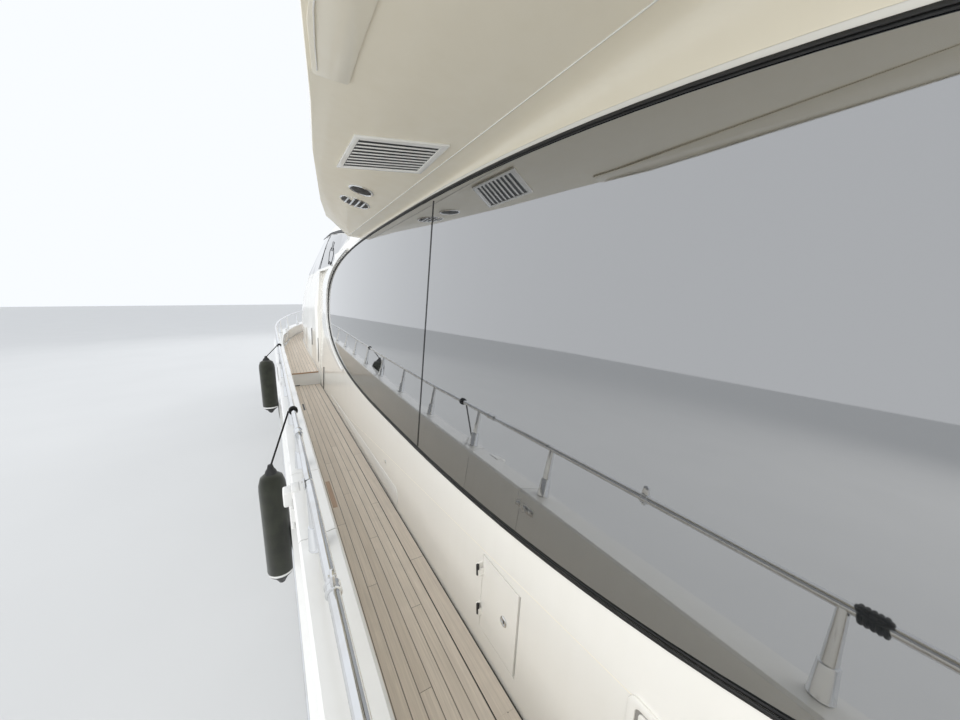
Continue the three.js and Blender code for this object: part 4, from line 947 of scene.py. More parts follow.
def make_grille():
    corners = [Vector(corner) for corner in GRILLE_CORNERS]
    middle = sum(corners, Vector((0, 0))) / 4

    def inside(margin, drop):
        shrunk = [corner.lerp(middle, margin) for corner in corners]
        return [under_soffit(corner.x, corner.y, drop) for corner in shrunk]

    rim = band(inside(0.0, 0.001), inside(0.14, 0.001), (0, 0, -0.012), 0.003)
    pair("grille_frame_SIDE", CREAM, rim, replaced="soffit_grille_SIDE")
    # The black sheet behind the slats is painted shade for the dark opening of the grille
    pair("grille_back_SIDE", BLACK, panel(inside(0.1, 0.0060), (0, 0, -0.002)))
    near_in, far_in, far_out, near_out = inside(0.15, 0.0)
    slats = []
    for i in range(10):
        start, end = near_in.lerp(far_in, i / 9), near_out.lerp(far_out, i / 9)
        edges = ((start, -0.0095), (start, 0.0095), (end, 0.0095), (end, -0.0095))
        outline = [under_soffit(place.x + shift, place.y, 0.0086) for place, shift in edges]
        slats.append(panel(outline, (0, 0, -0.0022), 0.0006))
    pair("grille_slats_SIDE", CREAM, *slats)


def make_soffit_round(name, x, y, radius):
    """A round steel rim with a dark core, set in the soffit; gives place and ways across and down."""
    place = under_soffit(x, y, 0.004)
    slope = (soffit_z(x, y + 0.05) - soffit_z(x, y - 0.05)) / 0.1
    down = Vector((0, slope, -1)).normalized()
    rim = [(radius, -0.002), (radius, 0.006), (radius - 0.006, 0.011), (radius - 0.014, 0.009),
           (radius - 0.016, 0.004)]
    core = [(radius - 0.017, 0.0), (radius - 0.017, 0.0065), (radius - 0.03, 0.008)]
    pair(name + "_rim_SIDE", STEEL, spun(rim, place, down, 40))
    pair(name + "_core_SIDE", BLACK, spun(core, place, down, 40))
    return place, Vector((0, 1, slope)).normalized(), down


def make_overhang():
    pair("soffit_cove_SIDE", BEIGE, skin(90, 10, cove_point, 0.001, 0.0), degrees=60)
    line = [(COVE_FROM_X + i * 0.45, CREASE_Y, CREASE_Z - 0.0015) for i in range(19)]
    pair("soffit_crease_SIDE", CREAM, tube(line, 0.0028, 8, steps=2), degrees=60)
    make_grille()
    radius = 0.12
    place, across, down = make_soffit_round("soffit_vent", -0.789, 2.518, radius)
    ribs = []
    for shift in (-0.062, -0.021, 0.021, 0.062):
        reach = Vector((math.sqrt((radius - 0.018) ** 2 - shift ** 2), 0, 0))
        middle = place + across * shift + down * 0.0095
        ribs.append(rod(middle - reach, middle + reach, 0.007, 8))
    pair("soffit_vent_ribs_SIDE", STEEL, *ribs)
    make_soffit_round("soffit_speaker", -1.138, 2.545, 0.088)
    lowered = panel([under_soffit(x, y, 0.003) for x, y in PANEL_PLAN], (0, 0, -0.009), 0.003)
    pair("soffit_panel_SIDE", BEIGE, lowered)
    places = (-9.0, -7.0, -5.5, -4.0, -3.2, -2.7, -2.39)
    edge = [under_soffit(x, read(LIP, x) - 0.034, 0.0118) for x in places]
    pair("soffit_edge_SIDE", CREAM, tube(edge, 0.003, 8, steps=2), degrees=60)

    def lip_point(u, v):
        x = -10.66 + u * 11.2
        return Vector((x, read(LIP, x) + 0.0012 + 0.004 * math.sin(math.pi * v), 4.470 + 0.172 * v))

    pair("deck_lip_trim_SIDE", WHITE, skin(64, 5, lip_point, 0.002, 1.0), degrees=60)


# Ropes on the rail, and the fenders on the port side

def rope_turn(hitch, lean=0.0):
    """One turn of rope round the rail."""
    ring = RAIL_RADIUS + ROPE_RADIUS
    loop = [hitch + Vector((lean * math.sin(a), ring * math.cos(a), ring * math.sin(a))) for a in angles(12)]
    return tube(loop, ROPE_RADIUS, 12, True, steps=3)


def make_fender(name, x, low, high, radius):
    place = Vector((x, RUB_RAIL_Y + radius + 0.0003, low))
    tall = high - low

    def scaled(*profile):
        return [(radius * part, height) for part, height in profile]

    cover = scaled((0.5, 0.122), (0.985, 0.123), (1, 0.132), (0.992, tall * 0.5), (1, tall - 0.17),
                   (0.96, tall - 0.12), (0.80, tall - 0.066), (0.5, tall - 0.042), (0.3, tall - 0.036))
    piece(name + "_cover", COVER, spun(cover, place, sides=40), replaced=(name,), degrees=70)
    foot = scaled((0.5, 0.096), (0.90, 0.097), (0.95, 0.103), (0.95, 0.121))
    piece(name + "_foot_band", WHITE, spun(foot, place, sides=36), degrees=50)
    tip = [(0.012, 0.0), (0.022, 0.004), *scaled((0.5, 0.052), (0.86, 0.088), (0.88, 0.0955))]
    head = [*scaled((0.46, tall - 0.048), (0.40, tall - 0.02)), (0.024, tall + 0.004), (0.018, tall + 0.03),
            (0.010, tall + 0.033)]
    piece(name + "_ends", RUBBER, spun(tip, place), spun(head, place), degrees=50)
    hitch = rail_point(x)
    turns = [rope_turn(hitch + Vector(((i - 1) * 0.015, 0, 0))) for i in range(3)]
    line = rod((x, place.y, high + 0.012), hitch + Vector((0, RAIL_RADIUS + 2 * ROPE_RADIUS, 0)), ROPE_RADIUS)
    piece(name + "_line", ROPE, line, *turns, degrees=60)


def make_rope_turns():
    turns = [rope_turn(rail_point(-3.80 + i * 0.0150), 0.004) for i in range(5)]
    hitch = rail_point(-3.770)
    ring = RAIL_RADIUS + ROPE_RADIUS
    over = []
    for a in angles(10):
        inward, rise = ring * 0.62 + 0.020 * abs(math.sin(a)), ring * 0.9 + 0.010 * math.sin(a)
        over.append(hitch + Vector((0.040 * math.cos(a), -inward, rise)))
    piece("rope_turns_on_rail", ROPE, *turns, tube(over, ROPE_RADIUS, 12, True, steps=3), degrees=60)


# Pilothouse: brow over the glass, pillars, wipers, handrails, horns and searchlight

BROW = [(1.93, 4.53), (2.0, 4.575), (3.15, 4.735), (4.3, 4.862), (5.30, 4.900)]


def side_strip(line, width, proud, columns=24, taper=0.0):
    """Strip on the pilothouse side along a line of (x, z), grown upwards by a width that narrows."""
    length = len(line) - 1

    def place(u, v):
        step = min(int(u * length), length - 1)
        (x0, z0), (x1, z1) = line[step], line[step + 1]
        part = u * length - step
        x, z = x0 + (x1 - x0) * part, z0 + (z1 - z0) * part + width * v * (1 - taper * u)
        return Vector((x, pilot_y(z, x) + proud, z))

    return skin(columns, 3, place, 0.004, 0.0)


def front_strip(y):
    def place(u, v):
        x, across = 5.50 + 2.90 * u, y + (v - 0.5) * 0.07
        return Vector((x, across, roof_z(x, across) + 0.0015))

    return skin(24, 3, place, 0.004, 0.0)


def wiper(foot, tip, lift):
    """Arm from a motor cover, with its blade along the glass."""
    foot, tip, lift = Vector(foot), Vector(tip), Vector(lift)
    middle = foot.lerp(tip, 0.55)
    blade = (tip - foot) * 0.34
    return [
        spun([(0.030, 0), (0.030, 0.012), (0.022, 0.020)], foot, lift, 20),
        tube([foot + lift * 0.016, middle + lift * 0.028, tip.lerp(foot, 0.3) + lift * 0.014], 0.006, 8),
        rod(middle + lift * 0.007, middle + lift * 0.007 + blade * 1.3, 0.0055, 8),
    ]


def make_glass_trim():
    brow = side_strip(BROW, 0.085, 0.001, taper=0.7)
    pair("glass_brow_SIDE", BLACK, brow, degrees=60)
    pillar = side_strip([(4.02, 4.16), (4.10, 4.16)], 0.66, -0.0015, 4)
    pair("side_pillar_SIDE", RUBBER, pillar, degrees=60, slot="dark_glass")
    piece("front_mullions", CREAM, front_strip(-0.72), front_strip(0.72), degrees=60)
    for letter, x, y in (("a", 7.60, -1.12), ("b", 8.30, 0.0), ("c", 7.60, 1.12)):
        foot, tip = (x, y, roof_z(x, y) + 0.004), (x - 1.2, y + 0.20, roof_z(x - 1.2, y + 0.20) + 0.004)
        piece("front_wiper_" + letter, BLACK, *wiper(foot, tip, (0.42, 0, 0.91)), degrees=50)
    foot, tip = (2.98, pilot_y(4.20, 2.98) - 0.003, 4.20), (3.22, pilot_y(4.60, 3.22), 4.60)
    pair("side_wiper_SIDE", BLACK, *wiper(foot, tip, (0, 0.96, 0.28)), degrees=50)


def make_trunk_handrail():
    places = (9.15, 9.75, 10.35, 10.95)
    line = [Vector((x, pilot_y(3.0, x) - 0.11, read(TRUNK_TOP, x) + 0.075)) for x in places]
    start, end = line[0] - Vector((0.08, 0, 0.07)), line[-1] + Vector((0.05, -0.03, -0.08))
    parts = [tube([start, *line, end], 0.0125, 16)]
    for point in line:
        foot = point - Vector((0, 0, 0.078))
        parts += [rod(point, point - Vector((0, 0, 0.082)), 0.010),
                  spun([(0.028, 0), (0.028, 0.006), (0.016, 0.012)], foot, sides=20)]
    pair("trunk_handrail_SIDE", STEEL, *parts, degrees=50)


def make_roof_gear():
    horns = []
    for y, long in ((-0.42, 0.34), (-0.56, 0.28)):
        base = roof_z(1.3, y)
        profile = [(0.016, 0), (0.018, long * 0.3), (0.022, long * 0.6), (0.034, long * 0.85), (0.060, long),
                   (0.062, long + 0.003), (0.050, long - 0.004), (0.018, long * 0.6)]
        horns += [spun(profile, (1.3, y, base + 0.075), (1, 0, 0), 28),
                  block((1.32, y - 0.014, base - 0.004), (1.38, y + 0.014, base + 0.066), 0.004)]
    piece("twin_horns", STEEL, *horns, degrees=50)
    base = roof_z(3.4, 0)
    pedestal = [(0.11, -0.002), (0.11, 0.02), (0.075, 0.04), (0.06, 0.075), (0.05, 0.14)]
    shade = [(0.085, -0.10), (0.11, -0.085), (0.118, 0.08), (0.122, 0.09), (0.112, 0.10), (0.105, 0.085)]
    piece(
        "searchlight", WHITE,
        spun(pedestal, (3.4, 0, base)),
        spun(shade, (3.4, 0, base + 0.25), (1, 0, 0), 36),
        block((3.36, -0.15, base + 0.09), (3.44, -0.121, base + 0.27), 0.006),
        block((3.36, 0.121, base + 0.09), (3.44, 0.15, base + 0.27), 0.006),
        block((3.36, -0.15, base + 0.075), (3.44, 0.15, base + 0.10), 0.006),
        degrees=45,
    )
    lens = [(0.103, 0), (0.103, 0.004), (0.07, 0.014), (0.03, 0.019)]
    piece("searchlight_lens", GLASS, spun(lens, (3.485, 0, base + 0.25), (1, 0, 0), 36), degrees=50)


# Hull: portlights and exhausts; cap: cleats

def side_of_hull(x, z):
    """Point of the hull's port side at a place along it, and the way that the face looks."""
    hull = NODES["hull"].evaluated_get(bpy.context.evaluated_depsgraph_get())
    _, place, normal, _ = hull.ray_cast(Vector((x, 6.0, z)), Vector((0, -1, 0)))
    return place.copy(), normal.copy()


def oval(place, normal, half_long, half_high):
    """A rounded outline sunk a little into the hull's side."""
    along = Vector((1, 0, 0))
    along = (along - normal * along.dot(normal)).normalized()
    up = normal.cross(along)
    points = []
    for angle in angles(28):
        c, s = math.cos(angle), math.sin(angle)
        points.append(place - normal * 0.012 + along * math.copysign(abs(c) ** 0.7, c) * half_long
                      + up * math.copysign(abs(s) ** 0.7, s) * half_high)
    return points


def make_hull_fittings():
    for letter, x in zip("abcdef", (-6.2, -4.4, -0.2, 1.6, 5.2, 6.9)):
        side = side_of_hull(x, 1.12)
        pane = panel(oval(*side, 0.30, 0.115), side[1] * 0.014, 0.001)
        pair("portlight_%s_SIDE" % letter, GLASS, pane, degrees=20)
        rim = band(oval(*side, 0.325, 0.138), oval(*side, 0.302, 0.116), side[1] * 0.020, 0.004)
        pair("portlight_rim_%s_SIDE" % letter, STEEL, rim, degrees=50)
    side = side_of_hull(-9.6, 0.52)
    outlet = [(0.155, -0.03), (0.155, 0.012), (0.145, 0.018), (0.125, 0.016), (0.12, -0.02)]
    pair("exhaust_outlet_SIDE", STEEL, spun(outlet, *side, 36), degrees=50)
    pair("exhaust_flap_SIDE", RUBBER, spun([(0.119, 0), (0.119, 0.006), (0.08, 0.010)], *side), degrees=50)


def make_cleats():
    """Each has two feet and a horned bar on the cap."""
    size, inset = 0.17, 0.135
    foot = [(0.026, -0.004), (0.026, 0.004), (0.014, 0.014), (0.012, 0.045)]
    bar = [(0.006, -1), (0.012, -0.95), (0.015, -0.5), (0.016, 0), (0.015, 0.5), (0.012, 0.95), (0.006, 1)]
    bar = [(radius, size * part) for radius, part in bar]
    for letter, x in zip("abcd", (-10.3, -6.4, 7.95, 11.3)):
        middle = edge_point(x, inset, cap_z(x))
        ahead = edge_point(x + 0.2, inset, cap_z(x + 0.2)) - edge_point(x - 0.2, inset, cap_z(x - 0.2))
        ahead.normalize()
        feet = [spun(foot, middle + ahead * size * shift, sides=20) for shift in (-0.3, 0.3)]
        horns = spun(bar, middle + Vector((0, 0, 0.052)), ahead, 20)
        pair("cap_cleat_%s_SIDE" % letter, STEEL, *feet, horns, degrees=50)


# Cushions: closed pads swollen by a cloth simulation, flat where they rest

PRESSURE = 4.0
LAST_FRAME = 20
SWELL_CAP = 0.022


def swollen(obj, voxel, rest_z):
    """Remesh a pad and let it swell; points below rest_z stay where they are."""
    apply_modifier(obj, "REMESH", mode="VOXEL", voxel_size=voxel)
    rest = [vertex.co.copy() for vertex in obj.data.vertices]
    held = obj.vertex_groups.new(name="held")
    held.add([i for i, co in enumerate(rest) if co.z < rest_z], 1.0, "REPLACE")
    pick(obj)
    cloth = obj.modifiers.new("Cloth", "CLOTH")
    cloth.settings.use_pressure = True
    cloth.settings.uniform_pressure_force = PRESSURE
    cloth.settings.effector_weights.gravity = 0.0
    cloth.settings.vertex_group_mass = "held"
    cloth.settings.quality = 3
    scene = bpy.context.scene
    for step in range(1, LAST_FRAME + 1):
        scene.frame_set(step)
    bpy.ops.object.modifier_apply(modifier=cloth.name)
    scene.frame_set(1)
    for vertex, start in zip(obj.data.vertices, rest):
        shift = vertex.co - start
        if shift.length > SWELL_CAP:
            vertex.co = start + shift.normalized() * SWELL_CAP


def seam_loop(obj, height, thick):
    """A line that follows the pad's side at one height."""
    points = [vertex.co.copy() for vertex in obj.data.vertices if abs(vertex.co.z - height) < thick]
    middle = sum(points, Vector()) / len(points)
    count = 72
    rings = [[] for _ in range(count)]
    for point in points:
        angle = math.atan2(point.y - middle.y, point.x - middle.x)
        rings[int((angle / (2 * math.pi) % 1.0) * count) % count].append(point)
    line = []
    for ring in filter(None, rings):
        place = max(ring, key=lambda co: (co.xy - middle.xy).length)
        outer = place.xy + (place.xy - middle.xy).normalized() * 0.0015
        line.append(Vector((*outer, height)))
    return line


def cushion_piece(obj, name, replaced=()):
    piece(name, CUSHION, obj, replaced=replaced, degrees=80)
    return obj


def pad(low, high, name, channels=(), replaced=()):
    """One cushion in the space from low to high; channels are places across its length."""
    low, high = Vector(low), Vector(high)
    size = high - low
    thin = min(size)
    room = Vector((0.010, 0.010, 0.0))
    obj = block(low + room, high - room - Vector((0, 0, thin * 0.16)), thin * 0.22, 4)
    voxel = max(max(size) / 46, 0.014)
    swollen(obj, voxel, low.z + 0.012)
    across = 0 if size.x >= size.y else 1
    for vertex in obj.data.vertices:
        co = vertex.co
        for place in channels:
            near = (co[across] - (low[across] + size[across] * place)) / 0.020
            if abs(near) < 3 and co.z > low.z + size.z * 0.45:
                co.z -= 0.010 * math.exp(-near * near)
        for axis in range(3):
            co[axis] = clamp(co[axis], low[axis], high[axis])
    line = seam_loop(obj, low.z + size.z * 0.52, voxel * 0.7)
    apply_modifier(obj, "SUBSURF", levels=1, render_levels=1)
    outward(obj)
    if len(line) > 12:
        obj = merge(obj, tube(line, 0.0055, 8, True, steps=2))
    return cushion_piece(obj, name, replaced)


def back_pad(name, size, low_y, place):
    """A cushion made lying and then set upright against a seat back."""
    tall, wide, thick = size
    back = pad((0.0, low_y, 0.0), (tall, low_y + wide, thick), name, (0.5,))
    back.data.transform(Matrix.Translation(place) @ Matrix.Rotation(math.radians(-90), 4, "Y")
                        @ Matrix.Scale(-1, 4, (0, 0, 1)))
    return outward(back)


def make_flybridge_seats():
    top = FLY_FLOOR + 0.42
    piece("settee_plinth", WHITE, block((-4.2, -2.3, FLY_FLOOR), (-1.2, -1.62, top - 0.14), 0.012),
          block((-4.2, -1.63, FLY_FLOOR), (-3.52, 0.2, top - 0.14), 0.012), replaced=("settee",))
    thirds = (0.33, 0.66)
    long_pad = pad((-2.198, -2.298, top - 0.139), (-1.202, -1.602, top), "settee_pad_a", thirds)
    cushion_piece(copy_to(long_pad, (-1.0, 0, 0)), "settee_pad_b")
    pad((-4.198, -2.298, top - 0.139), (-3.202, -1.602, top), "settee_pad_c", thirds)
    short_pad = pad((-4.198, -1.598, top - 0.139), (-3.502, -0.704, top), "settee_pad_d", thirds)
    cushion_piece(copy_to(short_pad, (0, 0.898, 0)), "settee_pad_e")
    piece("helm_seat_frame", WHITE, block((-1.95, 0.34, FLY_FLOOR), (-1.60, 1.06, top - 0.15), 0.014),
          block((-1.99, 0.34, top - 0.16), (-1.955, 1.06, FLY_FLOOR + 0.93), 0.010), replaced=("helm_seat",))
    pad((-1.95, 0.302, top - 0.149), (-1.552, 1.098, top), "helm_seat_pad", (0.5,))
    back_pad("helm_back_pad", (0.50, 0.796, 0.118), 0.302, (-1.9545, 0, top + 0.012))


# Decks: boards along the edges, mended planks, and the edge of the raised foredeck

def deck_board(x_from, x_to, low, high, rise=0.0007):
    return block((x_from, low, TEAK_TOP_Z), (x_to, high, TEAK_TOP_Z + rise))


def make_deck_boards():
    boards = [deck_board(x, x + 2.26, 2.4345, 2.5235) for x in (-7.5, -5.235, -2.97, -0.705, 1.56)]
    pair("margin_board_SIDE", TEAK_BOARD, *boards)
    pair("margin_seam_SIDE", RUBBER, deck_board(-7.5, 3.82, 2.5238, 2.5282, 0.0005),
         deck_board(-7.5, 3.82, 2.4290, 2.4342, 0.0005))
    piece("mended_planks", TEAK_PATCH, deck_board(-0.99, -0.49, 2.842, 2.878),
          deck_board(0.07, 0.42, 2.912, 2.978))
    piece("mended_seam", RUBBER, deck_board(2.06, 2.45, 2.842, 2.868))
    pair("step_nosing_SIDE", TEAK_TRIM, block((3.838, 2.446, 2.1056), (3.8794, 2.982, 2.1235), 0.006))
    # A thin black sheet at the riser's foot is painted shade standing for the scupper's dark opening
    pair("step_scupper_SIDE", BLACK, block((3.8465, 2.80, 1.8684), (3.8495, 2.96, 1.885), 0.001))


# Foredeck: windlass with its chain, hawse plate, hatch lid, sunpads

def make_windlass():
    low = foredeck_z(12.35)
    drum = [(0.165, 0.0), (0.165, 0.012), (0.125, 0.030), (0.115, 0.060), (0.085, 0.075), (0.070, 0.110),
            (0.080, 0.150), (0.112, 0.172), (0.112, 0.182), (0.05, 0.189)]
    half_cross = [(0.086, 0.075), (0.052, 0.100), (0.060, 0.135), (0.088, 0.160), (0.085, 0.170)]
    cross = [(radius, -height) for radius, height in reversed(half_cross)] + half_cross
    piece("windlass_drums", STEEL, spun(drum, (12.35, 0, low + 0.0004), sides=40),
          spun(cross, (12.35, 0, low + 0.12), (0, 1, 0), 36),
          rod((12.35, 0, low + 0.185), (12.30, 0.02, low + 0.188), 0.010), replaced=("windlass",), degrees=50)
    links = []
    for i in range(12):
        x = 12.50 + i * 0.058
        middle = Vector((x, 0, foredeck_z(x) + 0.030))
        side = Vector((0, 1, 0)) if i % 2 else Vector((0, 0, 1))
        loop = [middle + Vector((0.034 * math.cos(a), 0, 0)) + side * 0.019 * math.sin(a) for a in angles(12)]
        links.append(tube(loop, 0.0065, 8, True, steps=2))
    piece("anchor_chain", STEEL, *links, degrees=60)
    plate = [(0.10, -0.002), (0.10, 0.008), (0.085, 0.014), (0.05, 0.014), (0.045, 0.004)]
    piece("hawse_plate", STEEL, spun(plate, (13.22, 0, foredeck_z(13.22)), sides=36), degrees=50)


def make_hatch_lid():
    def lid_top(x, y, lift=0.0):
        return Vector((x, y, read(TRUNK_TOP, x) + 0.0603 + lift))

    outer = [lid_top(x, y) for x, y in rectangle((10.304, -0.326), (10.896, 0.326))]
    inner = [lid_top(x, y) for x, y in rectangle((10.345, -0.285), (10.855, 0.285))]
    body = "foredeck_hatch_body"
    piece("hatch_lid_rim", STEEL, band(outer, inner, (0, 0, 0.005), 0.002), body=body, degrees=50)
    grips = []
    for y in (-0.19, 0.19):
        line = ((y - 0.05, 0), (y - 0.05, 0.022), (y + 0.05, 0.022), (y + 0.05, 0))
        grips.append(tube([lid_top(10.80, side, lift) for side, lift in line], 0.006, 10))
    piece("hatch_lid_grips", BLACK, *grips, body=body, degrees=60)


def make_sunpads():
    tilt = math.atan2(read(TRUNK_TOP, 9.98) - read(TRUNK_TOP, 9.02), 0.96)
    base = Vector((9.02, 0, read(TRUNK_TOP, 9.02) + 0.0006))
    turn = Matrix.Translation(base) @ Matrix.Rotation(-tilt, 4, "Y")
    for name, y, replaced in (("sunpad_starboard", -0.782, ("sunpad",)), ("sunpad_port", 0.004, ())):
        cushion = pad((0.004, y, 0.0), (0.956, y + 0.778, 0.108), name, (0.25, 0.5, 0.75), replaced)
        cushion.data.transform(turn)


# Helm: instruments, throttle and wheel; table and bar

DASH_Z = 5.6404


def make_helm():
    slope = Vector((0.60, 0, -0.24)).normalized()
    up = Vector((0.24, 0, 0.60)).normalized()
    face = Vector((-0.35, 0, DASH_Z))
    displays = []
    for low in (0.30, 0.72):
        corners = rectangle((0.10, low), (0.38, low + 0.36))
        outline = [face + slope * down + Vector((0, y, 0)) for down, y in corners]
        displays.append(panel(outline, up * 0.010, 0.003))
    piece("helm_displays", GLASS, *displays)
    gauges = (0.35, 0.50, 0.90, 1.05)
    rim = [(0.052, 0), (0.052, 0.010), (0.046, 0.013), (0.043, 0.009)]
    piece("helm_gauge_rims", STEEL, *[spun(rim, (-0.62, y, DASH_Z)) for y in gauges], degrees=50)
    dial = [(0.042, 0), (0.042, 0.0085)]
    piece("helm_gauge_faces", GLASS, *[spun(dial, (-0.62, y, DASH_Z)) for y in gauges], degrees=50)
    knob = [(0.010, -0.014), (0.016, -0.010), (0.018, 0), (0.016, 0.010), (0.010, 0.014)]
    levers = [block((-0.70, 0.12, DASH_Z), (-0.52, 0.24, DASH_Z + 0.05), 0.012)]
    for y in (0.155, 0.205):
        levers += [rod((-0.61, y, DASH_Z + 0.04), (-0.57, y, DASH_Z + 0.16), 0.007),
                   spun(knob, (-0.57, y, DASH_Z + 0.165), sides=20)]
    piece("throttle_levers", BLACK, *levers, degrees=50)
    compass = [(0.075, 0), (0.078, 0.020), (0.070, 0.045), (0.060, 0.065), (0.040, 0.085), (0.015, 0.095)]
    piece("helm_compass", BLACK, spun(compass, (-0.52, 0.70, DASH_Z)), degrees=60)


def make_helm_wheel():
    centre = Vector((-1.07, 0.7, 5.52))
    body = "helm_wheel_body"
    circle = [centre + Vector((0, 0.2 * math.sin(a), 0.2 * math.cos(a))) for a in angles(24)]
    rim = tube(circle, 0.0145, 16, True, steps=3)
    piece("helm_wheel_rim", BLACK, rim, body=body, replaced=("helm_wheel",), degrees=60)
    hub = [(0.037, 0), (0.038, 0.006), (0.034, 0.050), (0.024, 0.059)]
    spokes = [spun(hub, centre + Vector((0.0395, 0, 0)), (-1, 0, 0), 28)]
    for angle in angles(3):
        tip = centre + Vector((0, 0.192 * math.sin(angle), 0.192 * math.cos(angle)))
        spokes.append(tube([centre, centre.lerp(tip, 0.5) + Vector((-0.010, 0, 0)), tip], 0.0085))
    piece("helm_wheel_spokes", STEEL, *spokes, body=body, degrees=50)


def make_flybridge_furniture():
    leg = [(0.14, 0.0), (0.14, 0.010), (0.062, 0.022), (0.056, 0.10), (0.056, 0.56), (0.060, 0.60),
           (0.13, 0.632), (0.13, 0.639)]
    piece("flybridge_table_leg", STEEL, spun(leg, (-2.5, -0.9, FLY_FLOOR), sides=36), degrees=50)
    top = block((-3.148, -1.398, FLY_FLOOR + 0.640), (-1.852, -0.452, FLY_FLOOR + 0.680), 0.016, 4)
    piece("flybridge_table_top", TEAK_TRIM, top, replaced=("flybridge_table",))
    doors = [block((x, 1.4925, FLY_FLOOR + 0.10), (x + 0.48, 1.4996, FLY_FLOOR + 0.80), 0.004)
             for x in (-6.15, -5.64, -5.13)]
    piece("bar_doors", WHITE, *doors)
    knob = [(0.016, 0), (0.016, 0.004), (0.012, 0.006)]
    knobs = [spun(knob, (x, 1.4925, FLY_FLOOR + 0.72), (0, -1, 0), 20) for x in (-5.72, -5.20, -4.70)]
    piece("bar_door_knobs", STEEL, *knobs, degrees=50)
    z = FLY_FLOOR + 0.9003
    outer, inner = (
        [(x, y, z) for x, y in rectangle((-5.90, 1.75), (-5.55, 2.05), grow)] for grow in (0.05, 0)
    )
    basin = band(outer, inner, (0, 0, 0.006), 0.002)
    spout = ((2.15, 0), (2.15, 0.20), (2.08, 0.26), (1.98, 0.20))
    tap = tube([(-5.72, y, z + lift) for y, lift in spout], 0.011, 14)
    grill = block((-5.30, 1.68, z), (-4.80, 2.12, z + 0.035), 0.010)
    piece("bar_sink_and_grill", STEEL, basin, tap, grill, degrees=50)


# Rail round the flybridge deck, and gear on the arch

def make_flybridge_rail():
    plan = [(-9.98, 2.40), (-10.40, 2.37), (-10.51, 2.20), (-10.52, 1.10), (-10.52, 0.0)]
    plan += [(x, -y) for x, y in reversed(plan[:-1])]
    parts = []
    for height, radius, sides in ((5.48, 0.0185, 20), (5.21, 0.010, 12), (4.94, 0.010, 12)):
        parts.append(tube([(x, y, height) for x, y in plan], radius, sides, steps=6))
    post = [(0.032, 0), (0.032, 0.008), (0.0165, 0.020), (0.0155, 0.40), (0.014, 0.795)]
    parts += [spun(post, (x, y, FLY_FLOOR + 0.0002), sides=20) for x, y in plan]
    piece("flybridge_guard_rail", STEEL, *parts, replaced=("flybridge_rail",), degrees=60)


def make_arch_gear():
    piece("radar_scanner_bar", WHITE, block((-7.34, -0.558, 7.061), (-7.22, 0.558, 7.154), 0.030, 5),
          spun([(0.080, 0), (0.080, 0.058), (0.070, 0.064)], (-7.28, 0, 7.0005)),
          body="radar_body", replaced=("radar_scanner",), degrees=50)
    shell = [(0.17, 0), (0.175, 0.010), (0.20, 0.058), (0.285, 0.118), (0.298, 0.135), (0.3, 0.2),
             (0.3, 0.32), (0.285, 0.40), (0.24, 0.49), (0.18, 0.555), (0.11, 0.598), (0.04, 0.617),
             (0.008, 0.62)]
    seam = [(0.2985, 0), (0.3015, 0.002), (0.3015, 0.006), (0.2985, 0.008)]
    whip = [(0.030, 0), (0.030, 0.05), (0.016, 0.10), (0.013, 0.28)]
    for side, way in (("port", 1), ("starboard", -1)):
        dome = "dome_" + side
        y = way * 1.25
        piece(dome + "_shell", WHITE, spun(shell, (-7.6, y, 6.6004), sides=48), replaced=(dome,), degrees=60)
        piece(dome + "_seam", RUBBER, spun(seam, (-7.6, y, 6.735), sides=48), degrees=60)
        y = way * 1.86
        piece("whip_antenna_" + side, WHITE, spun(whip, (-7.9, y, 6.6), sides=20),
              tube([(-7.9, y, 6.86), (-7.96, y, 7.6), (-8.03, y, 8.28)], 0.0055, 10), degrees=60)
    lens = [(0.046, 0), (0.047, 0.010), (0.047, 0.075), (0.040, 0.085)]
    piece("masthead_lens", MIRROR, spun(lens, (-8.05, 0, 8.250), sides=28), degrees=50)
    lamp = [(0.085, 0), (0.085, 0.012), (0.075, 0.018), (0.066, 0.010)]
    piece("arch_lamps", STEEL, *[spun(lamp, (-7.62, y, 6.4398), (0, 0, -1)) for y in (-0.7, 0.7)], degrees=50)


# Cockpit: bulkhead windows, door frame, sofa and table; stair rail and stern ladder

COCKPIT_TEAK_Z = 1.8686


def make_bulkhead():
    for side, low, high in (("port", 0.802, 1.898), ("starboard", -1.898, -0.802)):
        piece("bulkhead_pane_" + side, GLASS, block((-7.576, low, 2.302), (-7.564, high, 3.998), 0.002))
    outer, inner = (
        [(-7.6005, y, z) for y, z in rectangle((-1.898, 2.30), (-0.802, 4.0), grow)] for grow in (0.028, 0.0)
    )
    piece("bulkhead_trim_starboard", STEEL, band(outer, inner, (-0.008, 0, 0), 0.003))
    strips = ((-0.66, 1.885, -0.60, 4.055), (0.60, 1.885, 0.66, 4.055), (-0.61, 1.885, 0.61, 1.945),
              (-0.61, 3.995, 0.61, 4.055))
    stiles = [block((-7.6495, y0, z0), (-7.6455, y1, z1), 0.001) for y0, z0, y1, z1 in strips]
    line = ((-7.648, 2.75), (-7.685, 2.78), (-7.685, 3.12), (-7.648, 3.15))
    pull = tube([(x, -0.54, z) for x, z in line], 0.010, 14)
    piece("door_frame_and_pull", STEEL, *stiles, pull, body="saloon_door_body", degrees=50)


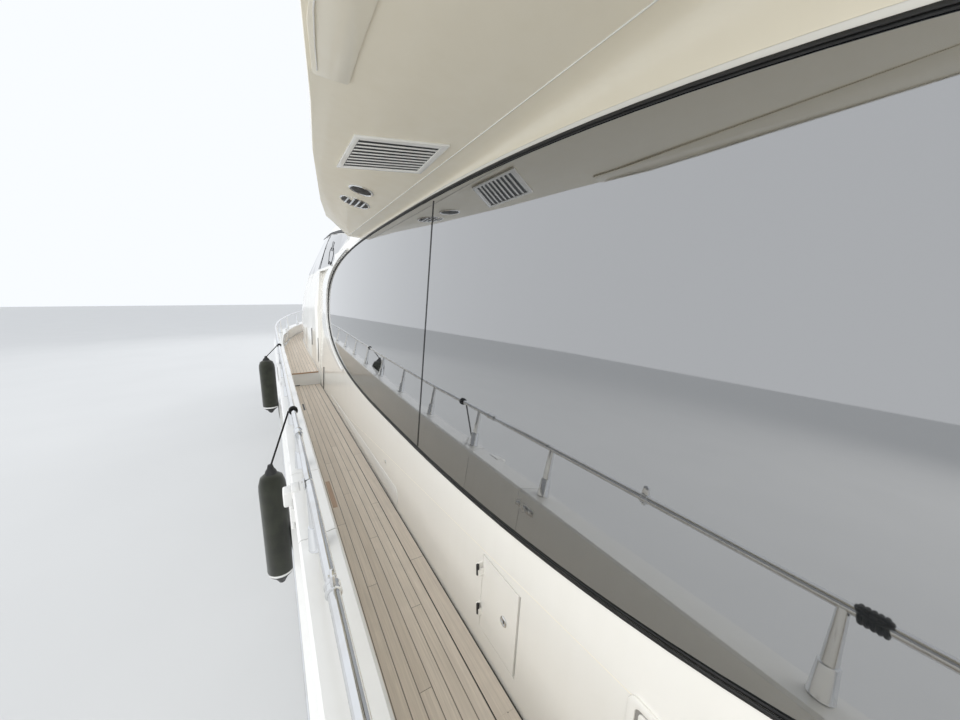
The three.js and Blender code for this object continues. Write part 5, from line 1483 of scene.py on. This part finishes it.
def make_cockpit():
    low = COCKPIT_TEAK_Z
    piece("sofa_plinth", WHITE, block((-11.218, -1.498, low), (-10.58, 1.498, low + 0.27), 0.012),
          block((-11.218, -1.498, low + 0.26), (-11.15, 1.498, 2.66), 0.014), replaced=("cockpit_sofa",))
    seat = pad((-11.145, 0.502, 2.139), (-10.562, 1.498, 2.289), "sofa_pad_a", (0.5,))
    for letter, move in (("b", -0.999), ("c", -1.998)):
        cushion_piece(copy_to(seat, (0, move, 0)), "sofa_pad_" + letter)
    back = back_pad("sofa_back_a", (0.37, 0.996, 0.115), 0.502, (-11.1475, 0, 2.296))
    for letter, move in (("b", -0.999), ("c", -1.998)):
        cushion_piece(copy_to(back, (0, move, 0)), "sofa_back_" + letter)
    leg = [(0.17, 0), (0.17, 0.010), (0.070, 0.026), (0.064, 0.12), (0.064, 0.58), (0.15, 0.662),
           (0.15, 0.671)]
    piece("cockpit_table_leg", STEEL, spun(leg, (-9.9, 0, low), sides=36), degrees=50)
    top = block((-10.248, -0.898, 2.540), (-9.552, 0.898, 2.585), 0.018, 4)
    piece("cockpit_table_top", TEAK_TRIM, top, replaced=("cockpit_table",))


def make_stern_rails():
    y = -2.325
    line = [(-8.35, y, 2.10), (-8.37, y, 2.90), (-9.225, y, 3.935), (-10.10, y, 4.45)]
    post = rod((-9.2, y, 3.05), (-9.2, y, 3.93), 0.012)
    piece("stair_handrail", STEEL, tube(line, 0.016, 14), post, degrees=60)
    x = -13.05
    sides = [tube([(x, y, 0.448), (x, y, 0.47), (x + 0.42, y, 0.47), (x + 0.42, y, 0.448)], 0.014, 14)
             for y in (-0.22, 0.22)]
    rungs = [rod((x, -0.22, 0.47), (x, 0.22, 0.47), 0.011) for x in (-12.98, -12.83, -12.68)]
    piece("folded_swim_ladder", STEEL, *sides, *rungs, degrees=60)


# Everything in order

dress_frame()
make_camera()
make_floor()
make_lights()
make_rails()
make_deck_edge()
make_eye_window()
make_hatches()
make_wall_fittings()
make_overhang()
make_fender("fender_mid", -0.9, 1.29, 2.29, 0.098)
make_fender("fender_fore", 3.0, 1.64, 2.60, 0.118)
make_rope_turns()
make_glass_trim()
make_trunk_handrail()
make_roof_gear()
make_hull_fittings()
make_cleats()
make_flybridge_seats()
make_deck_boards()
make_windlass()
make_hatch_lid()
make_sunpads()
make_helm()
make_helm_wheel()
make_flybridge_furniture()
make_flybridge_rail()
make_arch_gear()
make_bulkhead()
make_cockpit()
make_stern_rails()
